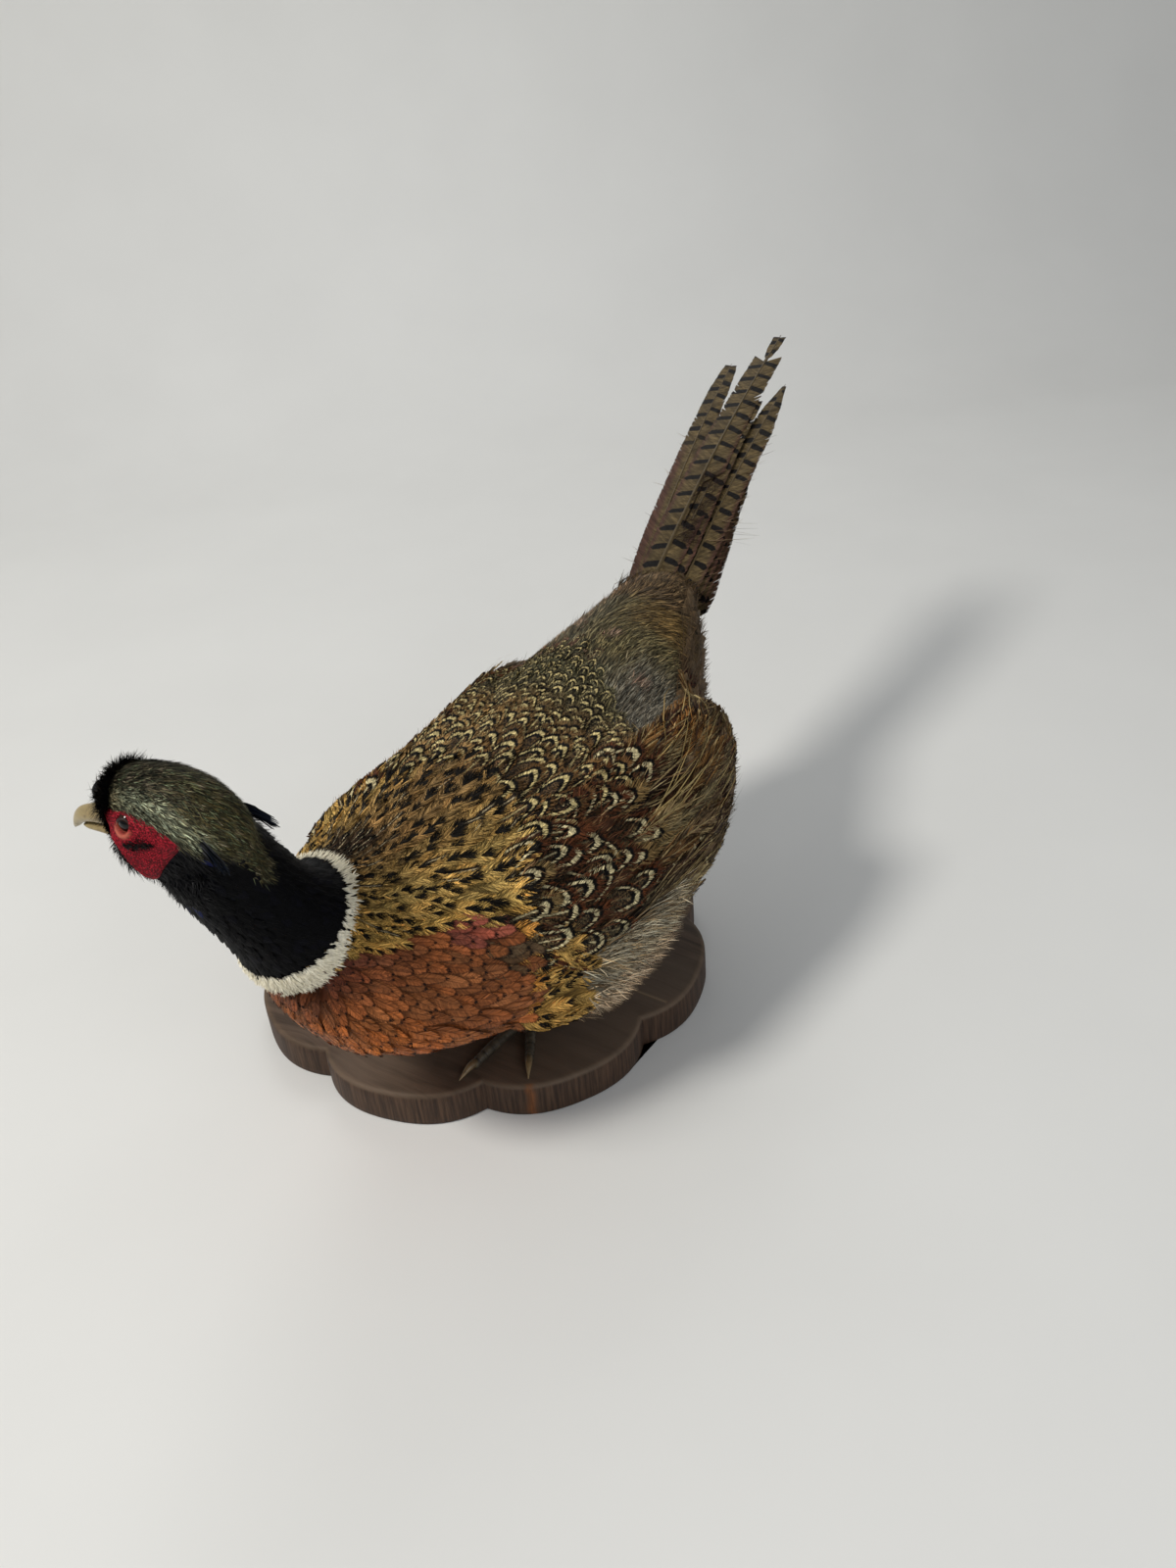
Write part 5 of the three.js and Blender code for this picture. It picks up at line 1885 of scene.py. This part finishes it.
def bill_loft(keys, count, around, ridge):
    """A bill half from rows of ahead, above, half width, height over and depth under."""
    rows = smooth_line(keys, count)
    turn = full_turn(around)[None]
    c, s = np.cos(turn), np.sin(turn)
    tall = np.where(s > 0, rows[:, 3:4], rows[:, 4:5])
    crest = 1 - ridge * np.abs(c) ** 1.5 * (s > 0)
    left = rows[:, 2:3] * c * np.where(s > 0, 0.75 + 0.25 * np.abs(c), 1.0)
    above = rows[:, 1:2] + tall * s * crest
    ahead = np.broadcast_to(rows[:, :1], left.shape)
    return ahead, left, above


BILL_UPPER = [
    (BILL_BASE - 3, -6.0, 6.3, 5.8, 4.0),
    (BILL_BASE + 5, -6.4, 5.9, 5.6, 3.8),
    (BILL_BASE + 11, -7.4, 5.3, 5.2, 3.4),
    (BILL_BASE + 18, -8.8, 4.4, 4.6, 3.1),
    (BILL_BASE + 24, -10.8, 3.3, 4.2, 3.3),
    (BILL_BASE + 28, -13.6, 2.1, 3.6, 3.4),
    (BILL_BASE + 30.2, -16.6, 0.9, 2.4, 1.6),
    (BILL_BASE + 30.6, -18.2, 0.25, 0.8, 0.4),
]
BILL_LOWER = [
    (BILL_BASE - 3, -13.0, 5.3, 2.4, 2.6),
    (BILL_BASE + 6, -13.2, 4.9, 2.2, 2.3),
    (BILL_BASE + 14, -13.7, 4.0, 1.8, 1.9),
    (BILL_BASE + 21, -14.6, 2.8, 1.3, 1.4),
    (BILL_BASE + 24.6, -15.2, 1.2, 0.6, 0.6),
]


def bill_half(name, keys, ridge, material, node):
    """One half of the bill, with a nostril on each side if it has a ridge."""
    count, around = 44, 32
    ahead, left, above = bill_loft(keys, count, around, ridge)
    share = np.repeat(np.linspace(0, 1, count), around)
    side = np.abs(left).ravel()
    pit_ahead = (ahead.ravel() - (BILL_BASE + 9.5)) / 3.4
    pit_above = (above.ravel() - (-6.2 - 0.1 * (ahead.ravel() - BILL_BASE))) / 1.1
    pit = np.exp(-(pit_ahead**2 + pit_above**2) * 1.2) * (side > 3) * (ridge > 0)
    squeeze = 1 - 0.16 * pit.reshape(left.shape)
    points = on_head(ahead, left * squeeze, above).reshape(-1, 3)
    faces = grid_faces(count, around, wrap=True)
    end = np.arange(around) + (count - 1) * around
    tip = np.stack([end, np.roll(end, -1), np.full(around, end[0]), np.full(around, end[0])], -1)
    faces = np.vstack([split_quads(faces), split_quads(tip)])
    piece = make_mesh(name, points, faces, {}, {"share": share, "pit": pit}, [material])
    settle(piece, "bill", node)


def bill():
    upper = horn_material("bill_horn", "#8b7650", "#a3956d")
    lower = horn_material("bill_horn_low", "#85714c", "#9a8a62")
    bill_half("bill_top", BILL_UPPER, 0.22, upper, "bill_upper")
    bill_half("bill_under", BILL_LOWER, 0.0, lower, "bill_lower")


def on_forehead(at):
    return (at.ahead > 23.5) & (at.above > -4) & (at.over_ring > 30)


def forehead(skin, rng):
    """The black tuft over the bill, with bristles that stand up, and the black chin."""
    where = lambda at: on_forehead(at) & ~in_wattle(at)
    top = lambda at: where(at) & (at.above > 0)

    def chin(at):
        low = (at.above < 4) & (at.above > -30) & (at.above < olive_limit(at))
        return (at.over_ring > 24) & (at.ahead > -16) & low & ~in_wattle(at, -0.5)

    coat("face_tufts", "neck_plumage", hair_material("black_hair", 0.5),
         tufts(skin, 3600, where, 4.2, 0.28, black_paint, rng, tip=1.2, jitter=25, slope=0.3, base=0.2,
               band=(0, 3)),
         tufts(skin, 2400, top, 4.6, 0.20, black_paint, rng, tip=2.0, jitter=45, slope=0.55,
               band=(1, 3)),
         tufts(skin, 3600, chin, 4.6, 0.26, black_paint, rng, tip=1.2, jitter=25, slope=0.25, base=0.2,
               band=(2, 3)))


def slit_lines(skin, rng):
    """Rows of tiny black feathers on the wattle, below and behind each eye."""
    lines = []
    for sign in (-1, 1):
        for _ in range(170):
            s = rng.random()
            a = 12.0 - 12.0 * s + rng.normal(0, 0.6)
            b = -3.4 + 2.2 * s + rng.normal(0, 0.4 + 0.6 * math.sin(math.pi * s))
            start = np.array(cheek_hit(skin, sign, a, b)) + sign * LEFT * 2.2
            way = unit(-AHEAD + rng.normal(0, 0.25) * ABOVE + sign * LEFT * 0.35)
            grow = rng.uniform(1.6, 3.0)
            lines.append(bowed(start, way, grow, 0.0, -sign * LEFT * 0.3))
    return lines


def ear_lines(rng):
    """Blades of the two ear tufts, from their roots back to ragged tips."""
    lines = []
    h, w, t = HEAD_HALF_LENGTH, HEAD_HALF_WIDTH, HEAD_HALF_HEIGHT
    for sign in (-1, 1):
        for _ in range(60):
            u, v = np.clip(rng.normal(0, 0.8, 2), -1.3, 1.3)
            root = on_head(-0.40 * h - 1.5 * abs(u), sign * (0.62 * w), 0.05 * t + 1.4 * v)
            mid = on_head(-0.76 * h, sign * (0.80 * w + 0.5 * u), -0.04 * t + 1.7 * v)
            end = on_head(-1.02 * h + 2.2 * u, sign * (0.92 * w), -0.28 * t + 2.2 * v)
            lines.append([root, mid, end])
    return lines


# ---------------------------------------------------------------- legs and feet

# Each toe's angle from straight ahead, its length and its radius.
TOES = {"middle": (-6, 46, 3.2), "outer": (32, 35, 2.94), "inner": (-42, 33, 2.94), "hind": (172, 15, 2.56)}
CLAW_REACH = 11.0


def scale_material(name):
    g = Graph(name, Roughness=0.5, Specular_IOR_Level=0.4)
    stain = g.noise(g.position(), 220.0, 4.0, 0.6)
    colour = g.mix(g.step(stain, 0.35, 0.7), "#3b342a", "#5d5444")
    colour = g.over(colour, "#16120e", g.value("groove"))
    g.bump(g.noise(g.position(), 1500.0, 3.0), 0.0002, 0.5)
    return g.colour(colour)


def scaled_tube(line, radii, up, pitch, count, around=28):
    """A scaled limb: overlapping plates in front and small scales behind."""
    path = smooth_line(line, count)
    points, faces = tube(path, smooth_radii(radii, count), around, up)
    step = np.linalg.norm(np.diff(path, axis=0), axis=1)
    along = np.concatenate([[0], np.cumsum(step)])
    body = count * around
    turn = np.tile(full_turn(around), count)
    s = np.repeat(along, around)
    front = smooth(np.sin(turn), -0.1, 0.25)
    plate = (s / pitch) % 1
    behind = (s / (0.55 * pitch) + 0.5 * (np.floor(turn * 3) % 2)) % 1
    cell = np.abs((turn * 3) % 1 - 0.5) * 2
    rise = front * (plate**0.7) * 0.42 + (1 - front) * (np.sin(behind * math.pi) * (1 - cell**3)) * 0.25
    groove = front * smooth(plate, 0.16, 0.0) + (1 - front) * smooth(np.sin(behind * math.pi), 0.4, 0.1)
    centre = np.repeat(path, around, 0)
    points[:body] = points[:body] + unit(points[:body] - centre) * (rise - 0.15)[:, None]
    return points, faces, np.append(groove, [0, 0])


def toe_path(foot, side, degrees, length, r):
    """The middle lines of a toe and of its claw."""
    a = math.radians(degrees)
    way = np.array([math.sin(side * a), -math.cos(side * a), 0.0])
    path = lambda *keys: np.array([foot + way * s + UP * h for s, h in keys])
    toe = path((1.5, r + 1.6), (0.25 * length, r + 1.3), (0.5 * length, r + 0.9),
               (0.75 * length, r + 0.5), (length, 0.8 * r + 0.3))
    claw = path((length - 3, 0.8 * r + 0.7), (length + 1, 0.8 * r + 1.4),
                (length + 0.45 * CLAW_REACH, 0.8 * r + 0.9), (length + CLAW_REACH, 1.2))
    return toe, claw


def horn_cone(line, radii, node, material):
    """A claw or a spur, named after the node that it stands for."""
    count, around = 18, 16
    radius = np.maximum(smooth_radii(radii, count), 0.08)
    points, faces = tube(smooth_line(line, count), radius, around, UP, 0.9)
    share = np.append(np.repeat(np.linspace(0, 1, count), around), [0, 1])
    values = {"share": share, "pit": share * 0}
    settle(make_mesh(f"{node}_horn", points, split_quads(faces), {}, values, [material]), "claw", node)


def leg(name, side, foot, scales, horn):
    """A shank and its toes as one piece, with a piece for each claw and for the spur."""
    ankle = foot + np.array([-2.0, 46.0, 46.0])
    low = foot + UP * 5.7
    line = [low, low + (ankle - low) * 0.33, low + (ankle - low) * 0.66, ankle]
    parts = [scaled_tube(line, [4.8, 4.0, 4.1, 5.6], np.array([0.0, -0.7, 0.7]), 3.6, 110)]
    nodes = [f"tarsus_{name}"]
    for toe, (degrees, length, r) in TOES.items():
        path, claw = toe_path(foot, side, degrees, length, r)
        parts.append(scaled_tube(path, [r, r * 0.98, r * 0.9, r * 0.86, r * 0.74], UP, 2.6, 64, 22))
        nodes.append(f"toe_{toe}_{name}")
        horn_cone(claw, [0.70 * r, 0.66 * r, 0.48 * r, 0.2], f"claw_{toe}_{name}", horn)
    joint = merged([(p, split_quads(f), {}, {"groove": groove}) for p, f, groove in parts])
    settle(make_mesh(f"leg_scales_{name}", *joint, [scales]), "leg_scales", *nodes)
    spur = [foot + np.array([-2.0 * side, 11, 12]), foot + np.array([-3.2 * side, 12.5, 8.5]),
            foot + np.array([-4.0 * side, 10, 2])]
    horn_cone(spur, [2.8, 1.9, 0.3], f"spur_{name}", horn)


def legs():
    scales = scale_material("leg_scales")
    horn = horn_material("claw_horn", "#4a3c2a", "#8a7450", 0.4)
    for name, (side, foot) in FEET.items():
        leg(name, side, foot, scales, horn)


# ---------------------------------------------------------------- board

BOARD_RADIUS = 131.0
BOARD_NOTCH = 11.0
BOARD_LOBES = 8
BOARD_TURN = math.radians(-9)
BOARD_THICK = 20.0
BOARD_MEAN = 128.0
DRIP_TURN = math.radians(-43.5)
SCRATCH_TURN = math.radians(-1)


def board_reach(angle):
    """How far the scalloped rim is from the middle."""
    lobe = np.abs(np.sin(BOARD_LOBES * (angle - BOARD_TURN) / 2))
    return BOARD_RADIUS - BOARD_NOTCH * (1 - lobe) ** 1.6


def rim_mark(turn, where, width):
    """1 on an upright line at one place round the rim. width is about half of the line's."""
    return np.exp(-(((turn - where) * BOARD_MEAN / width) ** 2))


def board_material():
    """Dull walnut with rings on top, upright grain on the rim, a drip, a scratch and a painted edge
    highlight.
    """
    g = Graph("walnut_board", Roughness=0.58, Specular_IOR_Level=0.22)
    p = g.position()
    x, y, z = (g.times(c, 1000.0) for c in g.parts(p))
    bend = g.noise(p, 9.0, 2.0)
    grain = g.grain((x, 0.012), g.add(g.times(y, 0.16), g.times(bend, 6.0)), detail=5.0, rough=0.6)
    fine = g.grain((x, 0.05), (y, 2.4), (z, 0.05), detail=3.0, rough=0.6)
    wide = g.noise(p, 14.0, 3.0)
    top = g.mix(g.step(grain, 0.34, 0.66), "#3c2f25", "#59483b")
    worn = g.step(wide, 0.42, 0.66)
    top = g.over(top, "#6b5b4d", worn, 0.55)
    upright = g.grain((g.value("round"), 260.0), (z, 0.03), detail=4.0, rough=0.6)
    rim = g.mix(g.step(upright, 0.32, 0.68), "#32251d", "#554031")
    colour = g.mix(g.value("rim"), top, rim)
    # painted highlight: a lighter line along the rounded top edge
    colour = g.over(colour, "#7d6851", g.value("edge"), 0.45)
    run = g.times(g.value("drip"), g.step(upright, 0.2, 0.5))
    colour = g.over(colour, "#84502a", run, 0.8)
    colour = g.over(colour, "#9a8264", g.value("scratch"), 0.7)
    g.bump(g.add(fine, g.times(grain, 0.5)), 0.0004, 0.45)
    return g.colour(g.shade(colour, g.add(0.82, g.times(fine, 0.36))))


def board():
    turns = 960
    angle = full_turn(turns)
    lobe = board_reach(angle)
    # Rows of points up the rim, as inset and height, then inwards over the top.
    rim_rows = [(1.6, 0.0), (1.0, 0.8), (1.0, 4.0), (1.0, 9.0), (1.0, 14.0), (1.1, 17.2), (1.5, 18.7),
                (2.4, 19.6), (3.6, 19.9), (5.0, BOARD_THICK)]
    top_rows = (0.93, 0.85, 0.75, 0.62, 0.48, 0.33, 0.18, 0.04)
    rows = [(lobe - inset, z) for inset, z in rim_rows]
    rows += [((lobe - 5.0) * share, BOARD_THICK) for share in top_rows]
    points = np.concatenate([
        np.stack([r * np.cos(angle), r * np.sin(angle), np.full(turns, z)], 1) for r, z in rows])
    k = np.arange(turns // 2 - 1)
    cap = np.stack([k, k + 1, turns - 2 - k, turns - 1 - k], -1)
    top_cap = cap + (len(rows) - 1) * turns
    faces = np.vstack([grid_faces(len(rows), turns, wrap=True), cap[:, ::-1], top_cap])
    turn = np.arctan2(points[:, 1], points[:, 0])
    reach = np.hypot(points[:, 0], points[:, 1])
    height = points[:, 2]
    wavy = DRIP_TURN + 0.004 * np.sin(height)
    values = {
        "rim": height < 18.5,
        # painted highlight: where the lighter line runs round the top edge
        "edge": np.exp(-(((height - 19.2) / 0.5) ** 2)) * (reach > 60),
        "round": np.abs(turn) / math.pi,
        "drip": rim_mark(turn, wavy, 1.8) * (reach > 100) * (height < 19.9),
        "scratch": rim_mark(turn, SCRATCH_TURN, 0.6) * (np.abs(reach - 114) < 10) * (height > 19.9),
    }
    settle(make_mesh("board_wood", points, faces, None, values, [board_material()]), "board", "base")


# ---------------------------------------------------------------- stage


def area_light(name, place, target, size, watts, colour):
    data = bpy.data.lights.new(name, "AREA")
    data.shape = "DISK"
    data.size = size
    data.energy = watts
    data.color = colour
    lamp = bpy.data.objects.new(name, data)
    bpy.context.scene.collection.objects.link(lamp)
    lamp.location = place
    lamp.rotation_euler = (Vector(target) - Vector(place)).to_track_quat("-Z", "Y").to_euler()


def build_stage():
    """A pale floor that curves up into a wall, three lamps and a dim sky. Sizes are in metres."""
    half, top, wall, curve = 3.0, 2.4, 1.6, 0.6
    profile = [(-half, 0.0), (wall - curve, 0.0)]
    for a in np.linspace(0.1, math.pi / 2, 14):
        profile.append((wall - curve + curve * math.sin(a), curve - curve * math.cos(a)))
    profile.append((wall, top))
    turn = math.radians(42)
    c, s = math.cos(turn), math.sin(turn)
    points = [(x * c - y * s, x * s + y * c, z) for y, z in profile for x in (-half, half)]
    g = Graph("pale_floor", Roughness=0.7, Specular_IOR_Level=0.3)
    grain = g.noise(g.position(), 6.0, 4.0)
    g.colour(g.mix(grain, "#dededb", "#e6e6e3"))
    faces = grid_faces(len(profile), 2)
    floor = make_mesh("floor", np.array(points) * 1000, faces, materials=[g.material])
    floor.location.z = -0.0002
    target = (0.03, 0.05, 0.12)
    area_light("key", (-0.55, -1.25, 1.75), target, 0.5, 30, (1.0, 0.97, 0.92))
    area_light("fill", (1.5, -0.6, 1.0), target, 1.2, 7, (0.93, 0.96, 1.0))
    area_light("rim", (-0.9, 1.1, 1.3), target, 0.9, 5, (1.0, 1.0, 1.0))
    world = bpy.data.worlds.new("studio")
    world.use_nodes = True
    sky = world.node_tree.nodes["Background"].inputs
    sky[0].default_value = (0.92, 0.95, 1.0, 1.0)
    sky[1].default_value = 0.26
    bpy.context.scene.world = world


# What the photo says about its camera. Places in the picture are in its pixels.
PICTURE_WIDTH = 1200.0
PICTURE_HEIGHT = 1600.0
FOCAL_PX = 1235.0
VANISHING = (777.8, 2824.5)
CAMERA_HEIGHT = 460.0
SENSOR = 36.0
BOARD_FROM_CAMERA = np.array([-68.0, 565.0])
HEADING = math.radians(35.0)


def build_camera():
    """The camera: its tilt comes from where upright edges meet, below the frame."""
    right_of = (VANISHING[0] - PICTURE_WIDTH / 2) / FOCAL_PX
    below = (VANISHING[1] - PICTURE_HEIGHT / 2) / FOCAL_PX
    up = -unit([right_of, -below, -1.0])
    forward = np.array([0.0, 0.0, -1.0])
    y = unit(forward - (forward @ up) * up)
    x = np.cross(y, up)
    c, s = math.cos(HEADING), math.sin(HEADING)
    spin = np.array([[c, -s, 0], [s, c, 0], [0, 0, 1]])
    basis = spin @ np.array([x, y, up])
    place = spin @ np.array([-BOARD_FROM_CAMERA[0], -BOARD_FROM_CAMERA[1], CAMERA_HEIGHT])
    data = bpy.data.cameras.new("camera")
    data.lens = SENSOR * FOCAL_PX / PICTURE_HEIGHT
    data.sensor_width = SENSOR
    data.sensor_fit = "AUTO"
    data.clip_start = 0.01
    camera = bpy.data.objects.new("camera", data)
    bpy.context.scene.collection.objects.link(camera)
    camera.matrix_world = Matrix.Translation(place * 0.001) @ Matrix(basis.tolist()).to_4x4()
    bpy.context.scene.camera = camera
    bpy.context.scene.view_settings.view_transform = "Standard"


# ---------------------------------------------------------------- build

build_camera()
build_stage()
skin = Skin()
RING_T = float(skin.t[np.abs(places(skin.points).over_ring) < 1.5].mean())
build_skin(skin)
TRACTS = (breast, mantle, back, coverts, flank, underparts, neck, rump, crown, white_ring, quills, fluff)
for seed, tract in enumerate(TRACTS, 21):
    tract(skin, RING_T, np.random.default_rng(seed))
forehead(skin, np.random.default_rng(34))
tail(np.random.default_rng(33))
tail_cover(np.random.default_rng(38))
bill()
for sign in (1, -1):
    wattle(skin, sign)
    eyeball(sign)
    eyelid(sign)
hair_piece("cheek_slit", "neck_plumage", slit_lines(skin, RNG), 0.24, ["#0a090a", "#15100f"], RNG)
hair_piece("ear_tufts", "crown_plumage", ear_lines(RNG), 0.75, ["#07080c", "#0d1420", "#0b1118"], RNG,
           "ear_tuft_left", "ear_tuft_right")
legs()
board()
